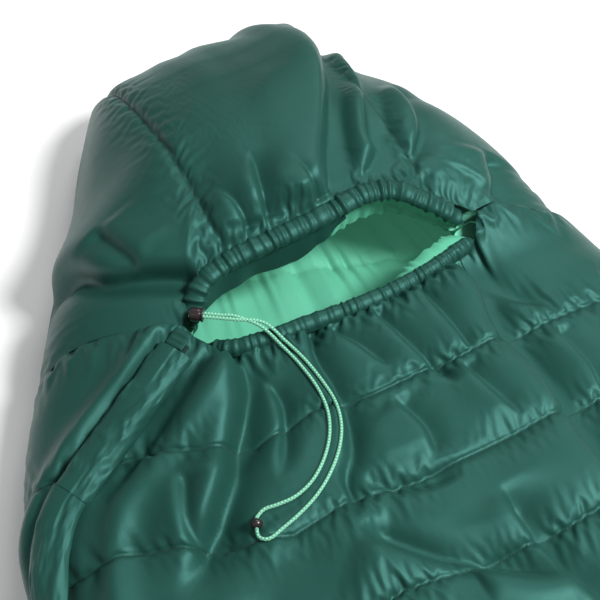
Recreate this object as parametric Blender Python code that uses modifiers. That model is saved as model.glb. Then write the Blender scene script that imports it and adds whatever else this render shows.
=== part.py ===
"""A mummy sleeping bag lying on its back, with a three-panel hood, a gathered face opening and a side zip.

Metres. +X is the lying sleeper's left, +Y points to the head end and +Z is up. The origin is on the floor
under the middle of the bag. The bag is nested layers: outer shell, insulation and lining, above and below
a seam plane that runs all round the bag. A place on the bag is given by s, its distance from the head
end, and by its depth below the outer surface. The top layers lean a little to +X, as the bag lies.
"""

import math

import bmesh
import bpy
from mathutils import Matrix, Vector

NAME = "mummy_sleeping_bag"

# The whole bag.
LENGTH = 2.15
SEAM_HEIGHT = 0.053
LEAN = 0.30
SIDE_SHIFT = 0.0027
HEAD_TURN = 0.12
FOOT_TURN = 0.10
GAP = 0.0003

# Half width, and height of the top above the floor, at distances from the head end.
HALF_WIDTH = [(0, 0.145), (0.04, 0.168), (0.10, 0.197), (0.21, 0.24), (0.315, 0.292), (0.43, 0.34),
              (0.555, 0.388), (0.69, 0.41), (0.82, 0.41), (1.0, 0.375), (1.3, 0.34), (1.6, 0.30),
              (1.9, 0.265), (2.08, 0.25), (2.15, 0.215)]
CROWN = [(0, 0.19), (0.085, 0.20), (0.17, 0.225), (0.26, 0.24), (0.365, 0.225), (0.46, 0.182),
         (0.525, 0.158), (0.63, 0.158), (0.86, 0.167), (1.2, 0.16), (1.6, 0.162), (1.93, 0.18), (2.15, 0.18)]

# Where the top is divided, from the head end, and the rows and columns that shape its layers.
NECK = 0.46
FOOTBOX = 1.85
HOOD_ROWS = [0, 0.006, 0.02, 0.045, 0.08, 0.12, 0.17, 0.23, 0.30, 0.365, 0.415, NECK]
FRONT_ROWS = [NECK, 0.51, 0.58, 0.66, 0.78, 0.92, 1.10, 1.30, 1.50, 1.70, FOOTBOX]
FOOTBOX_ROWS = [FOOTBOX, 1.95, 2.05, 2.09, 2.12, 2.138, 2.147, LENGTH]
BACK_ROWS = [0, 0.006, 0.02, 0.06, 0.12, 0.30, 0.50, 0.69, 0.90, 1.2, 1.6, 2.05, 2.10, 2.138, LENGTH]
HALF_COLUMNS = [0.2, 0.4, 0.58, 0.74, 0.87, 0.955, 1]
HALF_BACK_COLUMNS = [0.35, 0.6, 0.78, 0.9, 1]
BACK_FLAT = 0.35

# Depths of the layers below the outer surface.
SHELL = (0, 0.0012)
INSULATION = (0.0015, 0.030)
LINING = (0.0303, 0.0315)

# The face opening in plan: the middle of the hem channels, as (x, s), left to right.
HOOD_HEM = [(-0.150, 0.468), (-0.128, 0.441), (-0.090, 0.428), (-0.045, 0.424), (0.000, 0.420),
            (0.045, 0.414), (0.090, 0.407), (0.130, 0.412), (0.160, 0.430), (0.190, 0.446), (0.206, 0.452)]
NECK_HEM = [(-0.143, 0.491), (-0.118, 0.510), (-0.080, 0.515), (-0.030, 0.515), (0.030, 0.514),
            (0.080, 0.510), (0.130, 0.501), (0.170, 0.490), (0.198, 0.478), (0.208, 0.472)]
HEM_RADIUS = 0.0085
NECK_HEM_RADIUS = 0.0072
HEM_FABRIC = 0.0012
HEM_CUT = 0.0135
HEM_END_DIP = 0.018
HEM_END_DIP_LENGTH = 0.05
FACING = 0.0004
FACING_DROP = 0.034
FACING_SLOPE = 0.010
FACING_CLEARANCE = 0.0018

# Plan lines that divide the hood into three panels: x at the head end and at the neck.
LEFT_SEAM = (-0.128, -0.088)
RIGHT_SEAM = (0.140, 0.175)

# The drawcord: its two strands leave the lock side by side, lie on the chest and meet in the bead.
CORD_RADIUS = 0.0019
STRAND_OFFSET = 0.0022
LOCK_PLACE = (-0.146, 0.470, 0.1725)
LOCK_HEADING = math.radians(-28)
LOCK_RADIUS = 0.0082
LOCK_LENGTH = 0.016
LOCK_TRAVEL = 0.035
PLUNGER_TRAVEL = 0.002
BEAD_RADIUS = 0.0065
BEAD_SQUASH = 0.85
BEAD_BORE = 0.0030

# The zip's straight upper stretch, in plan, and the sizes of its parts.
ZIP_TOP = (-0.172, 0.492)
ZIP_TURN = (-0.335, 0.603)
ZIP_END = 1.72
TAPE_WIDTH = 0.014
TAPE = 0.0008
COIL_GAP = 0.0016
COIL_WIDTH = 0.0026
COIL_HEIGHT = 0.0022
SLIDER_START = 0.030
SLIDER_TRAVEL = 0.12
SLIDER_LENGTH = 0.020
SLIDER_WIDTH = 0.0108
PULL_LENGTH = 0.017
PULL_AXIS_HEIGHT = 0.0059
FLAP_HEIGHT = 0.0128
FLAP_START = 0.012
FLAP_END = 1.62

COLOURS = {
    "shell": ((0.030, 0.095, 0.075), 0.45, 0),
    "insulation": ((0.85, 0.86, 0.84), 0.9, 0),
    "lining": ((0.12, 0.42, 0.26), 0.5, 0),
    "hem": ((0.026, 0.085, 0.066), 0.5, 0),
    "cord": ((0.22, 0.60, 0.38), 0.7, 0),
    "hardware": ((0.022, 0.016, 0.017), 0.35, 0),
    "spring": ((0.6, 0.6, 0.6), 0.3, 1),
    "tape": ((0.028, 0.080, 0.064), 0.8, 0),
    "coil": ((0.020, 0.055, 0.045), 0.4, 0),
    "slider": ((0.05, 0.05, 0.05), 0.4, 1),
}


# ---------------------------------------------------------------- numbers and surfaces

def smooth(stations, at):
    """A curve through the stations that never overshoots them."""
    slopes = [(b[1] - a[1]) / (b[0] - a[0]) for a, b in zip(stations, stations[1:])]
    tangents = [slopes[0]]
    for before, after in zip(slopes, slopes[1:]):
        tangents.append(2 * before * after / (before + after) if before * after > 0 else 0)
    tangents.append(slopes[-1])
    i = 0
    while i < len(stations) - 2 and at > stations[i + 1][0]:
        i += 1
    (x0, y0), (x1, y1) = stations[i], stations[i + 1]
    h = x1 - x0
    t = min(max((at - x0) / h, 0), 1)
    return ((2 * t**3 - 3 * t**2 + 1) * y0 + (t**3 - 2 * t**2 + t) * h * tangents[i]
            + (3 * t**2 - 2 * t**3) * y1 + (t**3 - t**2) * h * tangents[i + 1])


def nearness_to_end(s):
    """0 along the bag, and 1 at its head end and its foot end."""
    return max(0, 1 - s / HEAD_TURN, 1 - (LENGTH - s) / FOOT_TURN)


def along_y(s, depth):
    """Y at distance s from the head end; a deeper layer stops its depth short of each end."""
    inset = depth * (max(0, 1 - s / HEAD_TURN) - max(0, 1 - (LENGTH - s) / FOOT_TURN))
    return LENGTH / 2 - s - inset


def top_point(p, s, depth=0.0):
    """The bag's upper surface; p runs from -1 at the left rim to 1 at the right rim."""
    angle = abs(p) * math.pi / 2
    rise = math.sqrt(max(0, 1 - nearness_to_end(s) ** 2))
    lift = (smooth(CROWN, s) - depth - SEAM_HEIGHT) * max(0, math.cos(angle)) ** 0.78 * rise
    reach = (smooth(HALF_WIDTH, s) - depth) * math.sin(angle) ** 0.92
    return Vector((math.copysign(reach, p) + LEAN * lift + SIDE_SHIFT, along_y(s, depth), SEAM_HEIGHT + lift))


def back_point(u, s, depth=0.0):
    """The bag's underside, flat on the floor in the middle; u runs from -1 to 1 across it."""
    side = max(0, (abs(u) - BACK_FLAT) / (1 - BACK_FLAT)) ** 3
    turn = 1 - (1 - side) * (1 - nearness_to_end(s) ** 3)
    reach = (smooth(HALF_WIDTH, s) - depth) * u
    return Vector((reach + SIDE_SHIFT, along_y(s, depth), depth + (SEAM_HEIGHT - GAP - depth) * turn))


def p_at(x, s):
    """The p whose point on the upper surface is at x."""
    low, high = -1.0, 1.0
    for _ in range(40):
        middle = (low + high) / 2
        if top_point(middle, s).x - SIDE_SHIFT < x:
            low = middle
        else:
            high = middle
    return low


def on_top(x, s, above=0.0):
    """The point above plan place (x, s) of the upper surface."""
    point = top_point(p_at(x, s), s)
    return Vector((x + SIDE_SHIFT, point.y, point.z + above))


def mirrored(half):
    return [-value for value in reversed(half)] + [0] + list(half)


COLUMNS = mirrored(HALF_COLUMNS)
BACK_COLUMNS = mirrored(HALF_BACK_COLUMNS)


def spline(points, spacing, closed=False):
    """Points about a given spacing apart on the smooth curve through a route's points.

    The spacing is a number, or a function of the place that gives one."""
    points = [Vector(point) for point in points]
    count = len(points)
    dense = []
    for i in range(count if closed else count - 1):
        if closed:
            a, b, c, d = (points[(i + k) % count] for k in (-1, 0, 1, 2))
        else:
            a, b, c, d = (points[min(max(i + k, 0), count - 1)] for k in (-1, 0, 1, 2))
        for k in range(16):
            t = k / 16
            dense.append(0.5 * (2 * b + (c - a) * t + (2 * a - 5 * b + 4 * c - d) * t**2
                                + (3 * b - a - 3 * c + d) * t**3))
    dense.append(points[0] if closed else points[-1])
    result = [dense[0]]
    walked = 0.0
    for a, b in zip(dense, dense[1:]):
        walked += (b - a).length
        wanted = spacing(b) if callable(spacing) else spacing
        if walked >= wanted:
            result.append(b)
            walked = 0.0
    if walked < wanted / 2:
        result.pop()
    return result if closed else result + [dense[-1]]


# ---------------------------------------------------------------- Blender helpers

for old in list(bpy.data.objects):
    bpy.data.objects.remove(old)

parts = bpy.data.collections.new(NAME)
cutters = bpy.data.collections.new("cutters")
bpy.context.scene.collection.children.link(parts)
bpy.context.scene.collection.children.link(cutters)
materials = {}


def material(key):
    if key not in materials:
        colour, roughness, metallic = COLOURS[key]
        made = bpy.data.materials.new(key)
        made.use_nodes = True
        shader = made.node_tree.nodes["Principled BSDF"]
        shader.inputs["Base Color"].default_value = (*colour, 1)
        shader.inputs["Roughness"].default_value = roughness
        shader.inputs["Metallic"].default_value = metallic
        materials[key] = made
    return materials[key]


def add(name, data, key, collection=parts):
    obj = bpy.data.objects.new(name, data)
    collection.objects.link(obj)
    if key:
        data.materials.append(material(key))
    return obj


def face_out(bm):
    bmesh.ops.recalc_face_normals(bm, faces=bm.faces[:])
    if bm.calc_volume(signed=True) < 0:
        bmesh.ops.reverse_faces(bm, faces=bm.faces[:])


def from_bmesh(name, bm, key, collection=parts):
    face_out(bm)
    mesh = bpy.data.meshes.new(name)
    bm.to_mesh(mesh)
    bm.free()
    return add(name, mesh, key, collection)


def slab(name, key, columns, rows, place):
    """A closed sheet: a flat grid, thickened, whose corners go where place(column, row, side) says."""
    bm = bmesh.new()
    bmesh.ops.create_grid(bm, x_segments=len(columns) - 1, y_segments=len(rows) - 1, size=1)
    rising = [face for face in bm.faces if face.calc_center_median().x * face.calc_center_median().y > 0]
    falling = [face for face in bm.faces if face not in set(rising)]
    bmesh.ops.triangulate(bm, faces=rising, quad_method="FIXED")
    bmesh.ops.triangulate(bm, faces=falling, quad_method="ALTERNATE")
    bmesh.ops.solidify(bm, geom=bm.faces[:], thickness=1)
    for vert in bm.verts:
        i = round((vert.co.x + 1) / 2 * (len(columns) - 1))
        j = round((vert.co.y + 1) / 2 * (len(rows) - 1))
        vert.co = place(columns[i], rows[j], 1 if abs(vert.co.z) > 0.5 else 0)
    obj = from_bmesh(name, bm, key)
    obj.data.shade_smooth()
    obj.data.set_sharp_from_angle(angle=math.radians(40))
    return obj


def tube(name, key, points, radius, sides=2, hollow=0.0):
    """A round tube along the points: solid with filled ends, or hollow with open ones."""
    curve = bpy.data.curves.new(name, "CURVE")
    curve.dimensions = "3D"
    curve.bevel_depth = radius
    curve.bevel_resolution = sides
    curve.use_fill_caps = not hollow
    line = curve.splines.new("POLY")
    line.points.add(len(points) - 1)
    for target, point in zip(line.points, points):
        target.co = (*point, 1)
    obj = add(name, curve, key)
    if hollow:
        wall = obj.modifiers.new("wall", "SOLIDIFY")
        wall.thickness = hollow
        wall.offset = -1
    return obj


def box(name, low, high, key=None, collection=cutters):
    low, high = Vector(low), Vector(high)
    bm = bmesh.new()
    bmesh.ops.create_cube(bm, size=1)
    for vert in bm.verts:
        vert.co = low + (high - low) * 0.5 + Vector(c * d for c, d in zip(vert.co, high - low))
    return from_bmesh(name, bm, key, collection)


def rod(name, start, end, radius, sides=16, key=None, collection=cutters):
    """A cylinder from one point to another."""
    start, end = Vector(start), Vector(end)
    bm = bmesh.new()
    bmesh.ops.create_cone(bm, cap_ends=True, segments=sides, radius1=radius, radius2=radius,
                          depth=(end - start).length)
    turn = Vector((0, 0, 1)).rotation_difference(end - start).to_matrix().to_4x4()
    bmesh.ops.transform(bm, matrix=Matrix.Translation((start + end) / 2) @ turn, verts=bm.verts[:])
    return from_bmesh(name, bm, key, collection)


def prism(name, outline):
    """A tall upright cutter with a plan outline of (x, y) points."""
    curve = bpy.data.curves.new(name, "CURVE")
    curve.dimensions = "2D"
    curve.fill_mode = "BOTH"
    curve.extrude = 0.5
    line = curve.splines.new("POLY")
    line.points.add(len(outline) - 1)
    for target, (x, y) in zip(line.points, outline):
        target.co = (x, y, 0, 1)
    line.use_cyclic_u = True
    flat = add(name, curve, None, cutters)
    return as_mesh(flat)


def as_mesh(obj):
    """The object's evaluated shape as a plain mesh object of the same name."""
    name, matrix, collection = obj.name, obj.matrix_world.copy(), obj.users_collection[0]
    bpy.context.view_layer.update()
    evaluated = obj.evaluated_get(bpy.context.evaluated_depsgraph_get())
    mesh = bpy.data.meshes.new_from_object(evaluated)
    bpy.data.objects.remove(obj)
    bm = bmesh.new()
    bm.from_mesh(mesh)
    bmesh.ops.remove_doubles(bm, verts=bm.verts[:], dist=1e-6)
    face_out(bm)
    bm.to_mesh(mesh)
    bm.free()
    made = bpy.data.objects.new(name, mesh)
    made.matrix_world = matrix
    collection.objects.link(made)
    return made


def cut(obj, cutter, operation="DIFFERENCE"):
    cutter.hide_render = True
    cutter.display_type = "WIRE"
    step = obj.modifiers.new(operation.lower(), "BOOLEAN")
    step.operation = operation
    step.object = cutter
    step.solver = "EXACT"


def place_at(obj, origin, matrix):
    """Moves an object built at the origin into its frame; its own origin stays on its axis."""
    obj.matrix_world = Matrix.Translation(origin) @ matrix


# ---------------------------------------------------------------- the bag's layers

def top_layer(name, key, rows, depths):
    first, last = rows[0], rows[-1]
    starts_inside = GAP / 2 if first > 0 else 0
    ends_inside = GAP / 2 if last < LENGTH else 0

    def place(p, s, side):
        if s == first:
            s += starts_inside
        if s == last:
            s -= ends_inside
        return top_point(p, s, depths[side])

    return slab(name, key, COLUMNS, rows, place)


def back_layer(name, key, depths):
    return slab(name, key, BACK_COLUMNS, BACK_ROWS, lambda u, s, side: back_point(u, s, depths[side]))


def plan(points):
    """(x, s) plan places as (x, y) points."""
    return [(x + SIDE_SHIFT, LENGTH / 2 - s) for x, s in points]


def offset_outline(outline, distance):
    """The closed outline, moved outward by a distance."""
    result = []
    count = len(outline)
    for i in range(count):
        before, after = Vector(outline[i - 1]), Vector(outline[(i + 1) % count])
        along = (after - before).normalized()
        result.append((outline[i][0] - along.y * distance, outline[i][1] + along.x * distance))
    return result


def hood_panel_cutter(name, left, right):
    """A plan wedge between two (head x, neck x) lines, longer than the hood."""
    def line(ends, s):
        return ends[0] + (ends[1] - ends[0]) * s / NECK
    reach = 0.05
    corners = [(line(left, -reach), -reach), (line(right, -reach), -reach),
               (line(right, NECK + reach), NECK + reach), (line(left, NECK + reach), NECK + reach)]
    return prism(name, plan(corners))


def build_layers():
    ring = spline([(x, y, 0) for x, y in plan(HOOD_HEM + NECK_HEM[::-1])], 0.018, closed=True)
    opening = prism("face_opening", offset_outline([(q.x, q.y) for q in ring], HEM_CUT))
    back_layer("back_shell", "shell", SHELL)
    back_layer("back_insulation", "insulation", INSULATION)
    back_layer("back_lining", "lining", LINING)
    layers = [("shell", SHELL), ("insulation", INSULATION), ("lining", LINING)]
    for key, depths in layers:
        front = top_layer("front_" + key, key, FRONT_ROWS, depths)
        cut(front, opening)
        top_layer("footbox_" + key, key, FOOTBOX_ROWS, depths)
        if key != "shell":
            cut(top_layer("hood_" + key, key, HOOD_ROWS, depths), opening)
    half = GAP / 2
    outside = 0.6
    def beside(seam, distance):
        return seam[0] + distance, seam[1] + distance

    panels = {"left": ((-outside, -outside), beside(LEFT_SEAM, -half)),
              "centre": (beside(LEFT_SEAM, half), beside(RIGHT_SEAM, -half)),
              "right": (beside(RIGHT_SEAM, half), (outside, outside))}
    for side, (left, right) in panels.items():
        panel = top_layer(f"hood_shell_{side}", "shell", HOOD_ROWS, SHELL)
        cut(panel, hood_panel_cutter(f"hood_{side}_keep", left, right), "INTERSECT")
        cut(panel, opening)


# ---------------------------------------------------------------- hems, facing and the cords inside them

def hem_route(plan_points, spacing):
    """The middle of a hem channel: in the face opening's edge, dipping at both ends."""
    flat = spline([(x, s, 0) for x, s in plan_points], spacing)
    walked = [0.0]
    for a, b in zip(flat, flat[1:]):
        walked.append(walked[-1] + (b - a).length)
    route = []
    for point, at in zip(flat, walked):
        end = min(at, walked[-1] - at)
        dip = HEM_END_DIP * max(0, 1 - end / HEM_END_DIP_LENGTH) ** 2
        route.append(on_top(point.x, point.y, -0.002 - dip))
    return route


def build_hems():
    hood = hem_route(HOOD_HEM, 0.017)
    neck = hem_route(NECK_HEM, 0.017)
    tube("hood_hem_channel", "hem", hood, HEM_RADIUS, hollow=HEM_FABRIC)
    tube("neck_hem_channel", "hem", neck, NECK_HEM_RADIUS, hollow=HEM_FABRIC)
    tube("hood_channel_cord", "cord", hood, CORD_RADIUS)
    tube("neck_channel_cord", "cord", neck, CORD_RADIUS)
    hung_from = hood[3:14]

    def place(down, i, side):
        y = FACING * side - 0.002 - FACING_SLOPE * down
        z = -HEM_RADIUS - FACING_CLEARANCE - FACING_DROP * down
        return hung_from[i] + Vector((0, y, z))

    slab("hood_facing", "hem", [0, 0.5, 1], list(range(len(hung_from))), place)


# ---------------------------------------------------------------- the drawcord and its lock

def lock_frame():
    """The lock's centre and its axes: along the cords, across them, and up."""
    along = Vector((math.cos(LOCK_HEADING), math.sin(LOCK_HEADING), 0))
    across = Vector((-along.y, along.x, 0))
    x, s, z = LOCK_PLACE
    return Vector((x + SIDE_SHIFT, LENGTH / 2 - s, z)), along, across


# The strands' routes over the chest in plan, from the end of the straight stretch to the bead.
LEFT_STRAND = [(-0.083, 0.510), (-0.069, 0.539), (-0.060, 0.567), (-0.054, 0.601), (-0.055, 0.632),
               (-0.065, 0.660), (-0.082, 0.684), (-0.103, 0.702), (-0.125, 0.711), (-0.144, 0.712),
               (-0.159, 0.711), (-0.168, 0.715)]
BEAD_LINE = [(-0.1712, 0.7195), (-0.1730, 0.7245), (-0.1748, 0.7295)]
RIGHT_STRAND = [(-0.1755, 0.7355), (-0.1715, 0.7410), (-0.1640, 0.7425), (-0.150, 0.738), (-0.130, 0.731),
                (-0.107, 0.720), (-0.084, 0.703), (-0.063, 0.680), (-0.049, 0.655), (-0.043, 0.628),
                (-0.045, 0.600), (-0.052, 0.565), (-0.063, 0.534), (-0.079, 0.506)]


def cord_route():
    """Both strands as one line: out of the lock, through the bead and back into the lock."""
    centre, along, across = lock_frame()
    rest = CORD_RADIUS + 0.0006

    def straight(side, distance, sink=0.0):
        return centre + along * distance + across * side * STRAND_OFFSET - Vector((0, 0, sink))

    out = [straight(1, d) for d in (-0.009, 0.0, 0.015, 0.030, 0.045)]
    home = [straight(-1, d) for d in (0.045, 0.030, 0.015, 0.0, -0.009)]
    over_hem = [0.0080, 0.0015]

    def laid(places, lifts):
        return [on_top(x, s, rest + (lifts[i] if i < len(lifts) else 0)) for i, (x, s) in enumerate(places)]

    left = laid(LEFT_STRAND, over_hem)
    right = laid(RIGHT_STRAND[::-1], over_hem)[::-1]
    bead = [on_top(x, s, BEAD_RADIUS + 0.0006) for x, s in BEAD_LINE]
    return out + left + bead + right + home, bead


def build_cord():
    route, bead = cord_route()
    middle = bead[1]
    line = spline(route, lambda place: 0.005 if (place - middle).length < 0.028 else 0.0125)
    tube("drawcord_loop", "cord", line, CORD_RADIUS)
    axis = (bead[2] - bead[0]).normalized()
    bm = bmesh.new()
    bmesh.ops.create_uvsphere(bm, u_segments=16, v_segments=10, radius=BEAD_RADIUS)
    bmesh.ops.scale(bm, vec=(1, 1, BEAD_SQUASH), verts=bm.verts[:])
    ball = from_bmesh("cord_end_bead", bm, "hardware")
    place_at(ball, middle, Vector((0, 0, 1)).rotation_difference(axis).to_matrix().to_4x4())
    reach = axis * BEAD_RADIUS * 1.5
    cut(ball, rod("bead_bore", middle - reach, middle + reach, BEAD_BORE))


def build_lock():
    centre, along, across = lock_frame()
    frame = Matrix((along, across, (0, 0, 1))).transposed().to_4x4()
    half = LOCK_LENGTH / 2

    def placed(obj):
        place_at(obj, centre, frame)
        return obj

    profile = [(-half, 0.0068), (-half + 0.0012, 0.0078), (-half + 0.010, LOCK_RADIUS),
               (half - 0.0042, LOCK_RADIUS), (half - 0.0038, 0.0070), (half - 0.0026, 0.0070), (half - 0.0022, LOCK_RADIUS),
               (half - 0.0006, LOCK_RADIUS), (half, 0.0076)]
    bm = bmesh.new()
    ring = [bm.verts.new((profile[0][0], 0, 0))]
    ring += [bm.verts.new((x, 0, radius)) for x, radius in profile]
    ring.append(bm.verts.new((profile[-1][0], 0, 0)))
    edges = [bm.edges.new(pair) for pair in zip(ring, ring[1:])]
    bmesh.ops.spin(bm, geom=ring + edges, axis=(1, 0, 0), cent=(0, 0, 0), angle=math.tau, steps=20)
    bmesh.ops.remove_doubles(bm, verts=bm.verts[:], dist=1e-6)
    barrel = placed(from_bmesh("cord_lock_barrel", bm, "hardware"))
    bore = CORD_RADIUS + 0.0004
    for side, label in ((1, "left"), (-1, "right")):
        y = side * STRAND_OFFSET
        cut(barrel, placed(rod(f"lock_bore_{label}", (-half * 1.5, y, 0), (half * 1.5, y, 0), bore)))
    cut(barrel, placed(box("lock_pocket", (-0.0033, -0.0056, -0.02), (0.0033, 0.0056, 0.0054))))

    bottom, top = -0.0094, CORD_RADIUS + 0.0004 + 0.0009
    low_corner, high_corner = (-0.0029, -0.0052, bottom), (0.0029, 0.0052, top)
    plunger = placed(box("cord_lock_plunger", low_corner, high_corner, "hardware", parts))
    slot_low = -(CORD_RADIUS + 0.0004 + PLUNGER_TRAVEL)
    slot_high = CORD_RADIUS + 0.0004
    cut(plunger, placed(box("plunger_slot", (-0.01, -0.0045, slot_low), (0.01, 0.0045, slot_high))))

    wire = 0.00022
    low, high = top + wire + GAP, 0.0054 - wire - GAP
    turns, steps = 2.25, 27
    coil = []
    for i in range(steps + 1):
        part = i / steps
        radius = 0.0024 - 0.0011 * part
        angle = math.tau * turns * part
        coil.append((radius * math.cos(angle), radius * math.sin(angle), low + (high - low) * part))
    placed(tube("cord_lock_spring", "spring", coil, wire))


# ---------------------------------------------------------------- the zip

def surface_normal(p, s):
    step = 0.004
    across = top_point(p + step, s) - top_point(p - step, s)
    down = top_point(p, s + step) - top_point(p, s - step)
    return down.cross(across).normalized()


def zip_p(s):
    """How far round the side the zip runs, below its straight stretch."""
    start = p_at(*ZIP_TURN)
    return start - (0.93 + start) * (1 - math.exp(-(s - ZIP_TURN[1]) / 0.09))


def straight_zip():
    """Start, direction, across and normal of the straight stretch, clear above the shell all along."""
    start, end = on_top(*ZIP_TOP), on_top(*ZIP_TURN)
    along = (end - start).normalized()
    middle = (ZIP_TOP[0] + ZIP_TURN[0]) / 2, (ZIP_TOP[1] + ZIP_TURN[1]) / 2
    normal = surface_normal(p_at(*middle), middle[1])
    across = normal.cross(along).normalized()
    normal = along.cross(across)
    worst = 0.0
    length = (end - start).length
    for i in range(13):
        for b in (-0.020, -0.012, 0, 0.012, 0.020):
            q = start + along * length * i / 12 + across * b
            s = LENGTH / 2 - q.y
            worst = max(worst, (on_top(q.x - SIDE_SHIFT, s).z - q.z) * normal.z)
    return start + normal * (worst + 0.0030), along, across, normal, length


def zip_frames(start_at, end_s):
    """Frames (point, across, normal) along the zip, from a distance down the straight stretch."""
    start, along, across, normal, length = straight_zip()
    frames = [(start + along * at, across, normal) for at in (start_at, (start_at + length) / 2, length)]
    lift = (start + along * length - on_top(*ZIP_TURN)).length
    s = ZIP_TURN[1] + 0.02
    while s < end_s + 1e-6:
        p = zip_p(s)
        blend = min(1, (s - ZIP_TURN[1]) / 0.10)
        up = normal.lerp(surface_normal(p, s), blend).normalized()
        point = top_point(p, s) + up * (lift + (0.0044 - lift) * blend)
        ahead = top_point(zip_p(s + 0.01), s + 0.01) - top_point(zip_p(s - 0.01), s - 0.01)
        side = up.cross(ahead).normalized()
        frames.append((point, side, ahead.cross(side).normalized()))
        s += 0.03 if s < 0.80 else 0.065
    return frames


def strip(name, key, frames, near, far, low, high):
    """A long flat bar along the zip, between two distances across it and two heights."""
    def place(column, row, side):
        point, across, normal = frames[row]
        return point + across * (near + (far - near) * column) + normal * (low + (high - low) * side)
    return slab(name, key, [0, 1], list(range(len(frames))), place)


def flap_profile(column, side):
    """The cover flap's section (across, up), from its sewn edge to its free edge, inner side first."""
    low, high = FLAP_HEIGHT, FLAP_HEIGHT + 0.0014
    inner = [(0.0215, -0.0010), (0.0195, 0.0070), (0.0140, low), (-0.004, low), (-0.0135, 0.0100)]
    outer = [(0.0230, -0.0010), (0.0210, 0.0078), (0.0147, high), (-0.004, high), (-0.0139, 0.0114)]
    return (outer if side else inner)[column]


def flap(name, frames):
    def place(column, row, side):
        point, across, normal = frames[row]
        b, n = flap_profile(column, side)
        return point + across * b + normal * n
    return slab(name, "shell", [0, 1, 2, 3, 4], list(range(len(frames))), place)


def build_zip():
    start, along, across, normal, length = straight_zip()
    frames = zip_frames(0.0, ZIP_END)
    half = COIL_GAP / 2
    for side, label in ((1, "front"), (-1, "side")):
        strip(f"zip_tape_{label}", "tape", frames, side * half, side * (half + TAPE_WIDTH), 0, TAPE)
        coil_low = TAPE + 2 * GAP
        strip(f"zip_coil_{label}", "coil", frames, side * half, side * (half + COIL_WIDTH),
              coil_low, coil_low + COIL_HEIGHT)
    build_slider(start + along * SLIDER_START, Matrix((along, across, normal)).transposed().to_4x4())
    flap_frames = zip_frames(FLAP_START, FLAP_END)
    upper = [(start + along * at, across, normal) for at in (FLAP_START, 0.07, 0.13, length)]
    flap("zip_flap_upper", upper)
    joined = flap_frames[2:]
    joined[0] = (joined[0][0] + along * GAP * 2, across, normal)
    flap("zip_flap_lower", joined)
    tab = box("zip_top_tab", (-0.013, -0.012, 0), (0.010, 0.012, 0.0012), "hem", parts)
    place_at(tab, start + normal * 0.0040, Matrix((along, across, normal)).transposed().to_4x4())


def build_slider(origin, frame):
    def placed(obj):
        place_at(obj, origin, frame)
        return obj
    half, wide = SLIDER_LENGTH / 2, SLIDER_WIDTH / 2
    low, high, plate = -0.0006, 0.0036, 0.0014
    slider = placed(box("zip_slider", (-half, -wide, high), (half, wide, high + plate), "slider", parts))
    lug_low, lug_high = high + plate - 0.0003, PULL_AXIS_HEIGHT + 0.0019
    pieces = [box("slider_bottom", (-half, -wide, low - plate), (half, wide, low)),
              box("slider_web", (-half, -0.0006, low - 0.0004), (-half + 0.004, 0.0006, high + 0.0004)),
              box("slider_side_a", (-half, wide - 0.0010, 0.0014), (half, wide, high + 0.0002)),
              box("slider_side_b", (-half, -wide, 0.0014), (half, -wide + 0.0010, high + 0.0002)),
              box("slider_lug", (-0.0024, -0.0016, lug_low), (0.0024, 0.0016, lug_high))]
    for piece in pieces:
        cut(slider, placed(piece), "UNION")
    pin = 0.0006
    hole_start, hole_end = (0, -0.01, PULL_AXIS_HEIGHT), (0, 0.01, PULL_AXIS_HEIGHT)
    cut(slider, placed(rod("lug_hole", hole_start, hole_end, pin + 0.0003)))

    axis = origin + (frame.to_3x3() @ Vector((0, 0, PULL_AXIS_HEIGHT)))

    def on_axis(obj):
        place_at(obj, axis, frame)
        return obj

    flat = 0.0005
    low_corner, high_corner = (0.0042, -0.0038, -flat), (PULL_LENGTH, 0.0038, flat)
    pull = on_axis(box("zip_pull", low_corner, high_corner, "slider", parts))
    for side, label in ((1, "a"), (-1, "b")):
        low_y, high_y = sorted((side * 0.0022, side * 0.0038))
        arm = box(f"pull_arm_{label}", (-0.0009, low_y, -flat * 0.98), (0.0046, high_y, flat * 0.98))
        cut(pull, on_axis(arm), "UNION")
    cut(pull, on_axis(rod("pull_pin", (0, -0.0030, 0), (0, 0.0030, 0), pin, 10)), "UNION")


def build_draft_tube():
    """The stuffed tube inside the bag that closes the cold line behind the zip."""
    inset, height, radius = 0.080, 0.064, 0.012
    points = []
    s = 0.60
    while s < ZIP_END:
        half_width = smooth(HALF_WIDTH, s)
        points.append(Vector((SIDE_SHIFT - half_width + inset, LENGTH / 2 - s, height)))
        s += 0.08
    tube("zip_draft_tube", "lining", points, radius)


build_layers()
build_hems()
build_cord()
build_lock()
build_zip()
build_draft_tube()
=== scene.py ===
"""A mummy sleeping bag of dark green nylon with a mint lining, lying on its back on a pale floor.

Metres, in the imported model's frame: +Y points to the head end, +X is the lying sleeper's left and +Z is up.
A place on the bag is given by s, its distance from the head end, and by p, which runs from -1 at the left
rim to 1 at the right rim over the top. Each panel of fabric starts from the bag's plain surface, is puffed
between its stitched lines, and is then relaxed as cloth that was cut larger than the surface below it.
"""

import math

import bpy
import numpy as np
from mathutils import Matrix, Vector


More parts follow.
